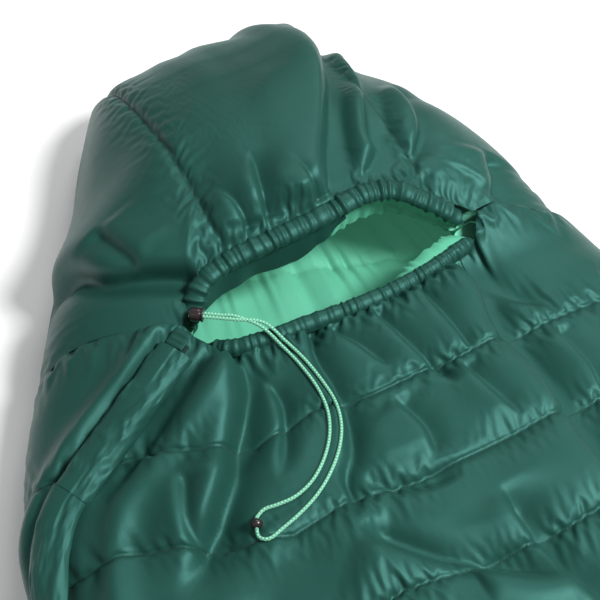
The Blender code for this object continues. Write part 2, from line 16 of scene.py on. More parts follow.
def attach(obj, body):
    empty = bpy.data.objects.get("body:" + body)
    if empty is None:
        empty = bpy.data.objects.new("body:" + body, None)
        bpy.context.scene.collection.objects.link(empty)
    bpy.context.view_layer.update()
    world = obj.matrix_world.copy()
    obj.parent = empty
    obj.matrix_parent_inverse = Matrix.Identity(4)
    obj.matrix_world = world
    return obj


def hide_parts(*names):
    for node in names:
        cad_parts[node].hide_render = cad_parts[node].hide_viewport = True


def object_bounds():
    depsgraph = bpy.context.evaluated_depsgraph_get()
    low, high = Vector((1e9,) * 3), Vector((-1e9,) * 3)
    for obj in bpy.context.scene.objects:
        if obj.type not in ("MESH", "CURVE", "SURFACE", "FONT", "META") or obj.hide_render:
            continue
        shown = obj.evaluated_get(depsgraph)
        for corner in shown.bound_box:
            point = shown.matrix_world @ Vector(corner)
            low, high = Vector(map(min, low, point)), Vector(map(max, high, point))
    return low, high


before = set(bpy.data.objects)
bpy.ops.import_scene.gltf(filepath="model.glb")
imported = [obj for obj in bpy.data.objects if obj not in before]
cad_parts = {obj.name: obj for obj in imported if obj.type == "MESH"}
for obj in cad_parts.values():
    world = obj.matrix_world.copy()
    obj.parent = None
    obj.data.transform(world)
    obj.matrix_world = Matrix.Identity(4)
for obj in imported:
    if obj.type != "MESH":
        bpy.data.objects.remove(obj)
cad_low, cad_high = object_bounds()

for leftover in [o for o in bpy.data.objects if o.type in ("CAMERA", "LIGHT")]:
    bpy.data.objects.remove(leftover)

# ---------------------------------------------------------------- the bag's plain surface

LENGTH = cad_high.y - cad_low.y
HEAD_Y = cad_high.y
SEAM_HEIGHT = 0.053
LEAN = 0.30
SIDE_SHIFT = 0.0027
HEAD_TURN = 0.12
FOOT_TURN = 0.10
NECK = 0.46
FOOTBOX = 1.85
BACK_FLAT = 0.35
HALF_WIDTH = [(0, 0.145), (0.04, 0.168), (0.10, 0.197), (0.21, 0.24), (0.315, 0.292), (0.43, 0.34),
              (0.555, 0.388), (0.69, 0.41), (0.82, 0.41), (1.0, 0.375), (1.3, 0.34), (1.6, 0.30),
              (1.9, 0.265), (2.08, 0.25), (2.15, 0.215)]
CROWN = [(0, 0.19), (0.085, 0.20), (0.17, 0.225), (0.26, 0.24), (0.365, 0.225), (0.46, 0.182),
         (0.525, 0.158), (0.63, 0.158), (0.86, 0.167), (1.2, 0.16), (1.6, 0.162), (1.93, 0.18), (2.15, 0.18)]

# The middle of each hem channel in plan, (x, s) from left to right.
HOOD_HEM = [(-0.150, 0.468), (-0.128, 0.441), (-0.090, 0.428), (-0.045, 0.424), (0.000, 0.420),
            (0.045, 0.414), (0.090, 0.407), (0.130, 0.412), (0.160, 0.430), (0.190, 0.446), (0.206, 0.452)]
NECK_HEM = [(-0.143, 0.491), (-0.118, 0.510), (-0.080, 0.515), (-0.030, 0.515), (0.030, 0.514),
            (0.080, 0.510), (0.130, 0.501), (0.170, 0.490), (0.198, 0.478), (0.208, 0.472)]

# Where the hood's and the front's fabric end in plan, round the opening and at the neck seam beside it.
BESIDE_LEFT = [(-0.50, 0.428), (-0.299, 0.430), (-0.268, 0.436), (-0.238, 0.445), (-0.200, 0.459),
               (-0.164, 0.470)]
BESIDE_RIGHT = [(0.252, 0.442), (0.306, 0.455)]
HOOD_EDGE = (BESIDE_LEFT + [(x, round(s - 0.0125, 4)) for x, s in HOOD_HEM[:-2]]
             + [(0.190, 0.434), (0.207, 0.443), (0.218, 0.450)] + BESIDE_RIGHT + [(0.60, 0.450)])
NECK_EDGE = (BESIDE_LEFT + [(-0.155, 0.487)] + [(x, round(s + 0.009, 4)) for x, s in NECK_HEM]
             + [(0.216, 0.466), (0.222, 0.452)] + BESIDE_RIGHT + [(0.60, 0.450)])

# The stitched lines across the front: the first one's s, their spacing, and how they bow across the width.
FIRST_QUILT = 0.623
QUILT_SPACING = (FOOTBOX - FIRST_QUILT) / 11
QUILT_BOW = [(-1.0, -0.045), (-0.80, -0.040), (-0.64, -0.015), (-0.55, 0.0), (-0.42, 0.012), (-0.25, 0.0),
             (-0.07, 0.005), (0.21, 0.0), (0.45, -0.010), (0.78, -0.023), (1.0, -0.030)]
LEFT_SEAM = (-0.128, -0.088)
RIGHT_SEAM = (0.140, 0.175)


def smooth(stations, at):
    """A curve through the stations that never overshoots them."""
    xs = np.array([a for a, _ in stations])
    ys = np.array([b for _, b in stations])
    at = np.asarray(at, float)
    slopes = np.diff(ys) / np.diff(xs)
    tangents = np.concatenate([slopes[:1], np.zeros(len(xs) - 2), slopes[-1:]])
    same = slopes[:-1] * slopes[1:] > 0
    total = np.where(same, slopes[:-1] + slopes[1:], 1)
    tangents[1:-1] = np.where(same, 2 * slopes[:-1] * slopes[1:] / total, 0)
    i = np.clip(np.searchsorted(xs, at, side="right") - 1, 0, len(xs) - 2)
    h = xs[i + 1] - xs[i]
    t = np.clip((at - xs[i]) / h, 0, 1)
    return ((2 * t**3 - 3 * t**2 + 1) * ys[i] + (t**3 - 2 * t**2 + t) * h * tangents[i]
            + (3 * t**2 - 2 * t**3) * ys[i + 1] + (t**3 - t**2) * h * tangents[i + 1])


def line(points, at):
    """Straight pieces through (x, value) points."""
    return np.interp(at, [a for a, _ in points], [b for _, b in points])


def top_point(p, s, depth=0.0):
    """The upper surface at p and s, as an array of points."""
    p, s = np.broadcast_arrays(np.asarray(p, float), np.asarray(s, float))
    head = np.clip(1 - s / HEAD_TURN, 0, 1)
    foot = np.clip(1 - (LENGTH - s) / FOOT_TURN, 0, 1)
    rise = np.sqrt(np.clip(1 - np.maximum(head, foot)**2, 0, 1))
    angle = np.abs(p) * math.pi / 2
    lift = (smooth(CROWN, s) - depth - SEAM_HEIGHT) * np.clip(np.cos(angle), 0, 1)**0.78 * rise
    x = np.sign(p) * (smooth(HALF_WIDTH, s) - depth) * np.sin(angle)**0.92 + LEAN * lift + SIDE_SHIFT
    return np.stack([x, HEAD_Y - s - depth * (head - foot), SEAM_HEIGHT + lift], -1)


def back_point(u, s, depth=0.0):
    """The underside, flat on the floor in the middle; u runs from -1 to 1 across it."""
    u, s = np.broadcast_arrays(np.asarray(u, float), np.asarray(s, float))
    head = np.clip(1 - s / HEAD_TURN, 0, 1)
    foot = np.clip(1 - (LENGTH - s) / FOOT_TURN, 0, 1)
    side = np.clip((np.abs(u) - BACK_FLAT) / (1 - BACK_FLAT), 0, 1)**3
    turn = 1 - (1 - side) * (1 - np.maximum(head, foot)**3)
    x = (smooth(HALF_WIDTH, s) - depth) * u + SIDE_SHIFT
    return np.stack([x, HEAD_Y - s - depth * (head - foot), depth + (SEAM_HEIGHT - depth) * turn], -1)


def p_at(x, s):
    """The p whose point on the upper surface is at x."""
    x, s = np.broadcast_arrays(np.asarray(x, float), np.asarray(s, float))
    low, high = np.full(x.shape, -1.0), np.full(x.shape, 1.0)
    for _ in range(36):
        middle = (low + high) / 2
        short = top_point(middle, s)[..., 0] - SIDE_SHIFT < x
        low = np.where(short, middle, low)
        high = np.where(short, high, middle)
    return low


def on_top(x, s, above=0.0):
    """Points above plan places (x, s) of the upper surface."""
    place = top_point(p_at(x, s), s)
    x = np.broadcast_to(np.asarray(x) + SIDE_SHIFT, place[..., 0].shape)
    return np.stack([x, place[..., 1], place[..., 2] + above], -1)


def unit(v):
    return v / np.maximum(np.linalg.norm(v, axis=-1, keepdims=True), 1e-9)


def curve_through(points, spacing):
    """Evenly spaced points on the smooth curve through a route's points."""
    points = np.asarray(points, float)
    ends = np.vstack([2 * points[0] - points[1], points, 2 * points[-1] - points[-2]])
    dense = []
    for i in range(len(points) - 1):
        a, b, c, d = ends[i:i + 4]
        for t in np.arange(0, 1, 1 / 24):
            dense.append(0.5 * (2 * b + (c - a) * t + (2 * a - 5 * b + 4 * c - d) * t**2
                                + (3 * b - a - 3 * c + d) * t**3))
    dense = np.array(dense + [points[-1]])
    walked = np.concatenate([[0], np.cumsum(np.linalg.norm(np.diff(dense, axis=0), axis=1))])
    count = max(2, int(round(walked[-1] / spacing)) + 1)
    at = np.linspace(0, walked[-1], count)
    return np.stack([np.interp(at, walked, dense[:, k]) for k in range(dense.shape[1])], -1)


# ---------------------------------------------------------------- Blender helpers

pieces = bpy.data.collections.new("pieces")
bpy.context.scene.collection.children.link(pieces)


def grid_mesh(name, points, closed=False, weave=None):
    """A mesh of quads through rows and columns of points; closed joins the last column to the first."""
    rows, cols = points.shape[:2]
    index = np.arange(rows * cols).reshape(rows, cols)
    if closed:
        index = np.hstack([index, index[:, :1]])
    faces = np.stack([index[:-1, :-1], index[1:, :-1], index[1:, 1:], index[:-1, 1:]], -1).reshape(-1, 4)
    mesh = bpy.data.meshes.new(name)
    mesh.vertices.add(rows * cols)
    mesh.vertices.foreach_set("co", np.ascontiguousarray(points, np.float32).ravel())
    mesh.loops.add(len(faces) * 4)
    mesh.loops.foreach_set("vertex_index", faces.astype(np.int32).ravel())
    mesh.polygons.add(len(faces))
    mesh.polygons.foreach_set("loop_start", np.arange(0, len(faces) * 4, 4, dtype=np.int32))
    mesh.polygons.foreach_set("use_smooth", np.ones(len(faces), bool))
    if weave is not None:
        along, around = weave
        if closed:
            around = np.hstack([around, np.full((rows, 1), 1.0)])
            along = np.hstack([along, along[:, :1]])
        uv = np.stack([along, around], -1)
        corners = [uv[:-1, :-1], uv[1:, :-1], uv[1:, 1:], uv[:-1, 1:]]
        layer = mesh.uv_layers.new(name="weave")
        layer.data.foreach_set("uv", np.stack(corners, 2).astype(np.float32).ravel())
    mesh.update(calc_edges=True)
    mesh.validate()
    return mesh


def piece(name, mesh, body, material, replaces=()):
    obj = bpy.data.objects.new(name, mesh)
    pieces.objects.link(obj)
    mesh.materials.append(material)
    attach(obj, body)
    if replaces:
        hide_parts(*replaces)
    return obj


def node_tree(name):
    made = bpy.data.materials.new(name)
    made.use_nodes = True
    nodes = made.node_tree.nodes
    return made, nodes, made.node_tree.links, nodes["Principled BSDF"]


def set_inputs(node, values):
    for socket, value in values.items():
        node.inputs[socket].default_value = value


def noise(nodes, links, scale, detail=2.0, roughness=0.5, distortion=0.0):
    """Noise in the object's own coordinates."""
    where = nodes.new("ShaderNodeTexCoord")
    texture = nodes.new("ShaderNodeTexNoise")
    set_inputs(texture, {"Scale": scale, "Detail": detail, "Roughness": roughness, "Distortion": distortion})
    links.new(where.outputs["Object"], texture.inputs["Vector"])
    return texture.outputs["Fac"]


def varied(nodes, links, value, low, high):
    """A value of 0 to 1 spread between two limits."""
    spread = nodes.new("ShaderNodeMapRange")
    set_inputs(spread, {"To Min": low, "To Max": high})
    links.new(value, spread.inputs["Value"])
    return spread.outputs["Result"]


def wave(nodes, links, scale, direction):
    """Straight bands across one axis of the object's own coordinates."""
    where = nodes.new("ShaderNodeTexCoord")
    texture = nodes.new("ShaderNodeTexWave")
    texture.wave_type = "BANDS"
    texture.bands_direction = direction
    texture.inputs["Scale"].default_value = scale
    links.new(where.outputs["Object"], texture.inputs["Vector"])
    return texture.outputs["Fac"]


def ramp(nodes, links, value, stops):
    made = nodes.new("ShaderNodeValToRGB")
    while len(made.color_ramp.elements) < len(stops):
        made.color_ramp.elements.new(0.5)
    for element, (place, colour) in zip(made.color_ramp.elements, stops):
        element.position = place
        element.color = (*colour, 1)
    links.new(value, made.inputs["Fac"])
    return made.outputs["Color"]


def bump(nodes, links, height, distance, strength=1.0, under=None):
    made = nodes.new("ShaderNodeBump")
    set_inputs(made, {"Distance": distance, "Strength": strength})
    links.new(height, made.inputs["Height"])
    if under is not None:
        links.new(under, made.inputs["Normal"])
    return made.outputs["Normal"]


def fabric(name, dark, light, roughness, sheen, crinkle=0.00018, weave_scale=1500, gloss=(0.36, 1, 0.9)):
    """Plain-woven nylon: two close tones, a fine weave, small crinkles and a soft sheen."""
    made, nodes, links, shader = node_tree(name)
    tone = noise(nodes, links, 9, 4, 0.6)
    links.new(ramp(nodes, links, tone, [(0.3, dark), (0.7, light)]), shader.inputs["Base Color"])
    shine = noise(nodes, links, 60, 3, 0.6)
    links.new(varied(nodes, links, shine, roughness - 0.04, roughness + 0.05), shader.inputs["Roughness"])
    set_inputs(shader, {"Sheen Weight": sheen, "Sheen Roughness": 0.4, "Sheen Tint": (*gloss, 1),
                        "Specular IOR Level": 0.85, "IOR": 1.32, "Specular Tint": (*gloss, 1)})
    small = bump(nodes, links, noise(nodes, links, 75, 3, 0.55, 0.6), crinkle)
    weft = bump(nodes, links, wave(nodes, links, weave_scale, "X"), 0.00003, 0.5, small)
    warp = bump(nodes, links, wave(nodes, links, weave_scale, "Y"), 0.00003, 0.5, weft)
    links.new(warp, shader.inputs["Normal"])
    return made


shell = fabric("shell_nylon", (0.0090, 0.0465, 0.0360), (0.0125, 0.0570, 0.0450), 0.42, 0.04)
hem_fabric = fabric("hem_nylon", (0.0085, 0.0430, 0.0330), (0.0115, 0.0520, 0.0400), 0.42, 0.04, 0.0004)
MINT_GLOSS = (0.7, 1, 0.85)
lining = fabric("lining_nylon", (0.10, 0.44, 0.28), (0.12, 0.49, 0.32), 0.45, 0.05, 0.0004, gloss=MINT_GLOSS)
# The back lining seen through the face opening: a darker mint with a painted glow, a faint mint emission that
# stands in for light reaching in through the opening.
back_lining_with_painted_light = fabric("deep_lining_nylon", (0.080, 0.33, 0.215), (0.095, 0.37, 0.245), 0.5, 0.05, 0.0004,
                     gloss=MINT_GLOSS)
painted_light_shader = back_lining_with_painted_light.node_tree.nodes["Principled BSDF"]
set_inputs(painted_light_shader, {"Emission Color": (0.10, 0.45, 0.29, 1), "Emission Strength": 0.20})


def thread(name, colour):
    made, nodes, links, shader = node_tree(name)
    tone = noise(nodes, links, 700, 2)
    dark = tuple(c * 0.6 for c in colour)
    links.new(ramp(nodes, links, tone, [(0.3, dark), (0.7, colour)]), shader.inputs["Base Color"])
    shader.inputs["Roughness"].default_value = 0.55
    return made


def plastic(name, colour, roughness, grain=0.00004):
    made, nodes, links, shader = node_tree(name)
    tone = noise(nodes, links, 220, 3)
    light = tuple(c * 1.35 for c in colour)
    links.new(ramp(nodes, links, tone, [(0.3, colour), (0.7, light)]), shader.inputs["Base Color"])
    worn = varied(nodes, links, noise(nodes, links, 400, 4), roughness - 0.06, roughness + 0.08)
    links.new(worn, shader.inputs["Roughness"])
    links.new(bump(nodes, links, noise(nodes, links, 2500, 2), grain), shader.inputs["Normal"])
    return made


def braid():
    """Round braided cord: mint, with crossing strands, painted shade in their grooves and a painted highlight
    on their crowns.
    """
    made, nodes, links, shader = node_tree("cord_braid")
    where = nodes.new("ShaderNodeUVMap")
    where.uv_map = "weave"
    heights = []
    for sign in (1, -1):
        turn = nodes.new("ShaderNodeMapping")
        turn.inputs["Scale"].default_value = (520, sign * 4.0, 1)
        texture = nodes.new("ShaderNodeTexWave")
        texture.bands_direction = "DIAGONAL"
        texture.inputs["Scale"].default_value = 0.32
        links.new(where.outputs["UV"], turn.inputs["Vector"])
        links.new(turn.outputs["Vector"], texture.inputs["Vector"])
        heights.append(texture.outputs["Fac"])
    both = nodes.new("ShaderNodeMath")
    both.operation = "MULTIPLY"
    links.new(heights[0], both.inputs[0])
    links.new(heights[1], both.inputs[1])
    # Painted shade and highlight: the colour follows the strands' height, darkest in the grooves and lightest
    # on the crowns.
    stops = [(0.0, (0.07, 0.27, 0.17)), (0.18, (0.16, 0.48, 0.31)), (0.75, (0.25, 0.64, 0.44))]
    links.new(ramp(nodes, links, both.outputs["Value"], stops), shader.inputs["Base Color"])
    set_inputs(shader, {"Roughness": 0.6, "Sheen Weight": 0.3})
    links.new(bump(nodes, links, both.outputs["Value"], 0.0003), shader.inputs["Normal"])
    return made


dark_thread = thread("dark_thread", (0.006, 0.026, 0.020))
mint_thread = thread("mint_thread", (0.20, 0.60, 0.38))
hardware = plastic("lock_plastic", (0.014, 0.0095, 0.0105), 0.28)
braided = braid()

# ---------------------------------------------------------------- camera, light and floor

target = np.array([0.0, 0.615, 0.165])
azimuth, elevation, roll, distance = math.radians(-25), math.radians(53), math.radians(2.5), 1.24
back = np.array([math.sin(azimuth) * math.cos(elevation), -math.cos(azimuth) * math.cos(elevation),
                 math.sin(elevation)])
level = np.array([math.cos(azimuth), math.sin(azimuth), 0.0])
right = level * math.cos(roll) + np.cross(back, level) * math.sin(roll)
above = np.cross(back, right)
camera = bpy.data.objects.new("camera", bpy.data.cameras.new("camera"))
bpy.context.scene.collection.objects.link(camera)
bpy.context.scene.camera = camera
camera.data.lens = 63.6
camera.data.sensor_width = 36
camera.data.clip_start = 0.05
camera.data.clip_end = 30
place = target + back * distance
aim = target - right * distance * 10 / 1060 - above * distance * 26 / 1060
behind = unit(place - aim)
side = unit(np.cross(above, behind))
upright = np.cross(behind, side)
pose = np.vstack([np.column_stack([side, upright, behind, place]), [0, 0, 0, 1]])
camera.matrix_world = Matrix(pose.tolist())


def area_light(name, where, toward, size, power):
    """A round, plain white studio light."""
    light = bpy.data.lights.new(name, "AREA")
    light.shape = "DISK"
    light.size = size
    light.energy = power
    obj = bpy.data.objects.new(name, light)
    bpy.context.scene.collection.objects.link(obj)
    obj.location = where
    obj.rotation_euler = (Vector(toward) - Vector(where)).to_track_quat("-Z", "Y").to_euler()


area_light("key", (1.30, -0.50, 2.5), (0, 0.4, 0.1), 0.8, 128)
area_light("fill", (-1.9, -0.6, 2.4), (0, 0.5, 0.1), 1.4, 4)
area_light("back", (1.1, 2.0, 2.3), (0, 0.4, 0.1), 1.0, 20)
world = bpy.data.worlds.new("studio")
bpy.context.scene.world = world
world.use_nodes = True
set_inputs(world.node_tree.nodes["Background"], {"Color": (1, 1, 1, 1), "Strength": 0.32})
bpy.context.scene.view_settings.view_transform = "Standard"

floor_mesh = bpy.data.meshes.new("floor")
floor_mesh.from_pydata([(-60, -60, 0), (60, -60, 0), (60, 60, 0), (-60, 60, 0)], [], [(0, 1, 2, 3)])
floor = bpy.data.objects.new("floor", floor_mesh)
bpy.context.scene.collection.objects.link(floor)
floor_paint, _, _, floor_shader = node_tree("floor_paint")
set_inputs(floor_shader, {"Base Color": (0.84, 0.84, 0.84, 1), "Roughness": 0.9,
                          "Emission Color": (1, 1, 1, 1), "Emission Strength": 0.08})
floor_mesh.materials.append(floor_paint)

# ---------------------------------------------------------------- the drawcord, its bead and its lock

CORD_RADIUS = 0.0019
ROUTE = [(-0.15021, 0.61117, 0.1725), (-0.14227, 0.60694, 0.1725), (-0.12902, 0.5999, 0.1725),
         (-0.11578, 0.59286, 0.1725), (-0.10253, 0.58582, 0.1725), (-0.0803, 0.565, 0.16741),
         (-0.0663, 0.536, 0.15977), (-0.0573, 0.508, 0.15875), (-0.0513, 0.474, 0.15906),
         (-0.0523, 0.443, 0.15907), (-0.0623, 0.415, 0.15913), (-0.0793, 0.391, 0.15919),
         (-0.1003, 0.373, 0.15882), (-0.1223, 0.364, 0.15775), (-0.1413, 0.363, 0.15625),
         (-0.1563, 0.364, 0.1548), (-0.1653, 0.36, 0.15408), (-0.1685, 0.3555, 0.15856),
         (-0.1703, 0.3505, 0.15861), (-0.1721, 0.3455, 0.15866), (-0.1728, 0.3395, 0.15429),
         (-0.1688, 0.334, 0.15501), (-0.1613, 0.3325, 0.15589), (-0.1473, 0.337, 0.15704),
         (-0.1273, 0.344, 0.1584), (-0.1043, 0.355, 0.15947), (-0.0813, 0.372, 0.15994),
         (-0.0603, 0.395, 0.15987), (-0.0463, 0.42, 0.15959), (-0.0403, 0.447, 0.15946),
         (-0.0423, 0.475, 0.15937), (-0.0493, 0.51, 0.15907), (-0.0603, 0.541, 0.16003),
         (-0.0763, 0.569, 0.16877), (-0.1046, 0.58193, 0.1725), (-0.11784, 0.58897, 0.1725),
         (-0.13109, 0.59602, 0.1725), (-0.14433, 0.60306, 0.1725), (-0.15228, 0.60728, 0.1725)]


def sweep(name, path, radius, around=12):
    """A round tube along a path, with a weave map that runs along it in metres."""
    tangent = unit(np.gradient(path, axis=0))
    across = unit(np.cross(tangent, [0, 0, 1.0]))
    up = np.cross(across, tangent)
    angle = np.linspace(0, math.tau, around, endpoint=False)
    ring = across[:, None] * np.cos(angle)[None, :, None] + up[:, None] * np.sin(angle)[None, :, None]
    points = path[:, None] + ring * np.asarray(radius)[..., None, None]
    walked = np.concatenate([[0], np.cumsum(np.linalg.norm(np.diff(path, axis=0), axis=1))])
    weave = (np.repeat(walked[:, None], around, 1), np.repeat(angle[None] / math.tau, len(path), 0))
    return grid_mesh(name, points, True, weave)


cord_path = curve_through(ROUTE, 0.0025)
cord = piece("drawcord", sweep("drawcord", cord_path, CORD_RADIUS), "bag", braided, ["drawcord_loop"])


def lathe(name, profile, centre, axis, around=40):
    """A turned piece: (place along the axis, radius) pairs about an axis."""
    axis = unit(np.asarray(axis, float))
    side_way = unit(np.cross(axis, [0.1, 0.2, 1.0]))
    up_way = np.cross(axis, side_way)
    angle = np.linspace(0, math.tau, around, endpoint=False)
    ring = side_way[None] * np.cos(angle)[:, None] + up_way[None] * np.sin(angle)[:, None]
    points = np.array([np.asarray(centre) + axis * at + ring * radius for at, radius in profile])
    return grid_mesh(name, points, True)


# The bead: a flattened ball with a rounded mouth at each end of its bore and a fine parting line.
bead_axis = unit(np.array(ROUTE[19]) - np.array(ROUTE[17]))
bead_centre = np.array(ROUTE[18])
bead_profile = []
for angle in np.linspace(-1.0, 1.0, 41) * 1.12:
    groove = 0.00018 * math.exp(-(angle / 0.03)**2)
    bead_profile.append((0.0065 * 0.85 * math.sin(angle), 0.0065 * math.cos(angle) - groove))
mouth = bead_profile[-1]
inner = [(mouth[0] - 0.0004, 0.00248), (mouth[0] - 0.0014, 0.0023), (-mouth[0] + 0.0014, 0.0023),
         (-mouth[0] + 0.0004, 0.00248)]
bead_profile = bead_profile + inner + bead_profile[:1]
bead = piece("cord_bead", lathe("cord_bead", bead_profile, bead_centre, bead_axis), "bag", hardware,
             ["cord_end_bead"])

# The lock: a ribbed barrel with a flange at its front, and a button that comes out below.
lock_centre = np.array([-0.1433, 0.605, 0.1725])
lock_along = np.array([0.88295, -0.46947, 0.0])
barrel_profile = [(-0.0080, 0.0020), (-0.0080, 0.0062), (-0.0077, 0.0067), (-0.0068, 0.0077),
                  (-0.0060, 0.0079), (-0.0030, 0.0081), (0.0010, 0.0082), (0.0036, 0.0082),
                  (0.0040, 0.0080), (0.0043, 0.0071), (0.0054, 0.0071), (0.0057, 0.0080),
                  (0.0060, 0.0082), (0.0074, 0.0082), (0.0079, 0.0078), (0.0080, 0.0072),
                  (0.0078, 0.0050), (0.0076, 0.0046), (0.0076, 0.0001)]
piece("lock_barrel", lathe("lock_barrel", barrel_profile, lock_centre, lock_along, 48), "cord_lock", hardware,
      ["cord_lock_barrel"])

# ---------------------------------------------------------------- cloth

def soft_noise(shape, cell, seed):
    """Smooth random numbers of about unit size over a grid, with features some cells wide."""
    made = np.random.default_rng(seed)
    rows, cols = shape
    coarse = made.normal(size=(int(rows / cell) + 4, int(cols / cell) + 4))
    r = np.linspace(1, coarse.shape[0] - 3, rows)
    c = np.linspace(1, coarse.shape[1] - 3, cols)

    def spread(values, at, axis):
        i = np.floor(at).astype(int)
        t = at - i
        w = [(-t + 2 * t**2 - t**3) / 2, (2 - 5 * t**2 + 3 * t**3) / 2, (t + 4 * t**2 - 3 * t**3) / 2,
             (t**3 - t**2) / 2]
        total = 0
        for k in range(4):
            picked = np.take(values, np.clip(i + k - 1, 0, values.shape[axis] - 1), axis=axis)
            total = total + picked * (w[k][:, None] if axis == 0 else w[k][None, :])
        return total

    return spread(spread(coarse, r, 0), c, 1)


def normals_of(points):
    """Outward unit normals of a grid whose rows run towards the foot and columns to +X."""
    down = np.gradient(points, axis=0)
    across = np.gradient(points, axis=1)
    return unit(np.cross(down, across))


def blur(values, times):
    for _ in range(times):
        padded = np.pad(values, ((1, 1), (1, 1)) + ((0, 0),) * (values.ndim - 2), mode="edge")
        values = (padded[:-2, 1:-1] + padded[2:, 1:-1] + padded[1:-1, :-2] + padded[1:-1, 2:]
                  + 4 * padded[1:-1, 1:-1]) / 8
    return values


class Cloth:
    """A grid of cloth that keeps its cut size while it rests on a springy bed."""

    def __init__(self, bed, normal, cut, free, bend):
        self.bed = bed.astype(np.float32)
        self.normal = normal.astype(np.float32)
        self.free = free.astype(np.float32)
        self.at = self.bed.copy()
        self.groups = []
        across, along = cut
        rows, cols = free.shape
        for start in (0, 1):
            self.pair((slice(None), slice(start, cols - 1, 2)), (slice(None), slice(start + 1, cols, 2)),
                      across, 1.0)
            self.pair((slice(start, rows - 1, 2), slice(None)), (slice(start + 1, rows, 2), slice(None)),
                      along, 1.0)
            a, b = slice(start, rows - 1, 2), slice(start + 1, rows, 2)
            self.pair((a, slice(0, cols - 1)), (b, slice(1, cols)), (across + along) / 2, 0.35)
            self.pair((a, slice(1, cols)), (b, slice(0, cols - 1)), (across + along) / 2, 0.35)
        for start in (0, 1, 2, 3):
            self.pair((slice(None), slice(start, cols - 2, 4)), (slice(None), slice(start + 2, cols, 4)),
                      across, bend)
            self.pair((slice(start, rows - 2, 4), slice(None)), (slice(start + 2, rows, 4), slice(None)),
                      along, bend)

    def pair(self, first, second, growth, stiffness):
        a, b = self.bed[first], self.bed[second]
        n0, n1 = min(a.shape[0], b.shape[0]), min(a.shape[1], b.shape[1])
        if n0 == 0 or n1 == 0:
            return
        first, second = self.trim(first, a, n0, n1), self.trim(second, b, n0, n1)
        a, b = self.bed[first], self.bed[second]
        grown = (growth[first] + growth[second]) / 2
        rest = np.linalg.norm(b - a, axis=-1) * (1 + grown)
        wa, wb = self.free[first], self.free[second]
        total = np.maximum(wa + wb, 1e-6)
        self.groups.append((first, second, rest.astype(np.float32), (wa / total * stiffness)[..., None],
                            (wb / total * stiffness)[..., None]))

    @staticmethod
    def trim(where, values, n0, n1):
        result = []
        for part, count, wanted in zip(where, values.shape[:2], (n0, n1)):
            if count == wanted:
                result.append(part)
            else:
                start, step = part.start or 0, part.step or 1
                result.append(slice(start, start + step * wanted, part.step))
        return tuple(result)

    def relax(self, rounds, bed_pull, drift_pull, low, high):
        """Pull the cloth to its cut size again and again, while its bed holds it between low and high."""
        at = self.at
        for _ in range(rounds):
            for first, second, rest, wa, wb in self.groups:
                a, b = at[first], at[second]
                gap = b - a
                size = np.sqrt(np.einsum("ijk,ijk->ij", gap, gap)) + 1e-9
                push = gap * ((size - rest) / size)[..., None]
                a += push * wa
                b -= push * wb
            away = at - self.bed
            height = np.einsum("ijk,ijk->ij", away, self.normal)[..., None]
            level_part = away - self.normal * height
            wanted = np.clip(height * (1 - bed_pull), low, high)
            at -= (level_part * drift_pull + self.normal * (height - wanted)) * self.free[..., None]


def finer(values, shape):
    """Values on every second row and column, spread to the whole grid."""
    rows, cols = shape[:2]
    r, c = np.arange(rows) / 2, np.arange(cols) / 2
    i = np.minimum(r.astype(int), values.shape[0] - 2) if values.shape[0] > 1 else np.zeros(rows, int)
    t = (r - i).clip(0, 1).reshape(-1, *([1] * (values.ndim - 1)))
    values = values[i] * (1 - t) + values[i + 1] * t
    j = np.minimum(c.astype(int), values.shape[1] - 2)
    t = (c - j).clip(0, 1).reshape(1, -1, *([1] * (values.ndim - 2)))
    return values[:, j] * (1 - t) + values[:, j + 1] * t


DEEPEST_SAG = -0.012


def drape(bed, normal, across, along, free, seed, large=0.030):
    """Cloth relaxed on a bed: its large folds on a coarse grid first, then smaller ones on finer grids."""
    scale = 1.0
    moved = None
    for level, rounds, pull, bend, high, cell, height, share, extra in (
            (4, 170, 0.010, 0.20, 0.010, 6, 0.0035, 0.6, large),
            (2, 130, 0.020, 0.40, 0.011, 6, 0.0012, 0.85, 0.0),
            (1, 90, 0.030, 0.80, 0.012, 7, 0.0003, 1, 0.0)):
        pick = (slice(None, None, level), slice(None, None, level))
        here, up, loose = bed[pick], normal[pick], free[pick]
        cloth = Cloth(here, up, (across[pick] * share + extra, along[pick] * share + extra), loose, bend)
        offset = up * (soft_noise(loose.shape, cell, seed + level) * height)[..., None]
        if moved is not None:
            offset = offset + finer(moved, loose.shape)
        cloth.at = (here + offset * loose[..., None]).astype(np.float32)
        cloth.relax(int(rounds * scale), pull, 0.01, DEEPEST_SAG, high)
        moved = cloth.at.astype(float) - here
    return bed + blur(moved, 1) * free[..., None]


def keep_above(points, base, normal, lowest=-0.021):
    """The points, lifted where they have sunk further below the plain surface than the stuffing lets them."""
    height = np.einsum("ijk,ijk->ij", points - base, normal)
    sunk = np.clip(lowest + 0.006 - height, 0, None)
    return points + normal * (sunk - 0.006 * (1 - np.exp(-sunk / 0.006)))[..., None]


def plan_of(points):
    """(x, s) of frame points."""
    return points[..., 0] - SIDE_SHIFT, HEAD_Y - points[..., 1]


def offset_from(points, path):
    """Signed distance in plan from a path of (x, s) places, and how far along it, 0 to 1."""
    x, s = plan_of(points)
    best = np.full(x.shape, 9.0)
    signed = np.zeros(x.shape)
    part = np.zeros(x.shape)
    path = np.asarray(path, float)
    lengths = np.linalg.norm(np.diff(path, axis=0), axis=1)
    walked = np.concatenate([[0], np.cumsum(lengths)])
    for i, size in enumerate(lengths):
        d = (path[i + 1] - path[i]) / size
        t = (x - path[i][0]) * d[0] + (s - path[i][1]) * d[1]
        kept = np.clip(t, 0, size)
        dx, ds = x - path[i][0] - d[0] * kept, s - path[i][1] - d[1] * kept
        away = np.hypot(dx, ds)
        closer = away < best
        best = np.where(closer, away, best)
        signed = np.where(closer, np.sign(d[0] * ds - d[1] * dx) * away, signed)
        part = np.where(closer, (walked[i] + kept) / walked[-1], part)
    return signed, part


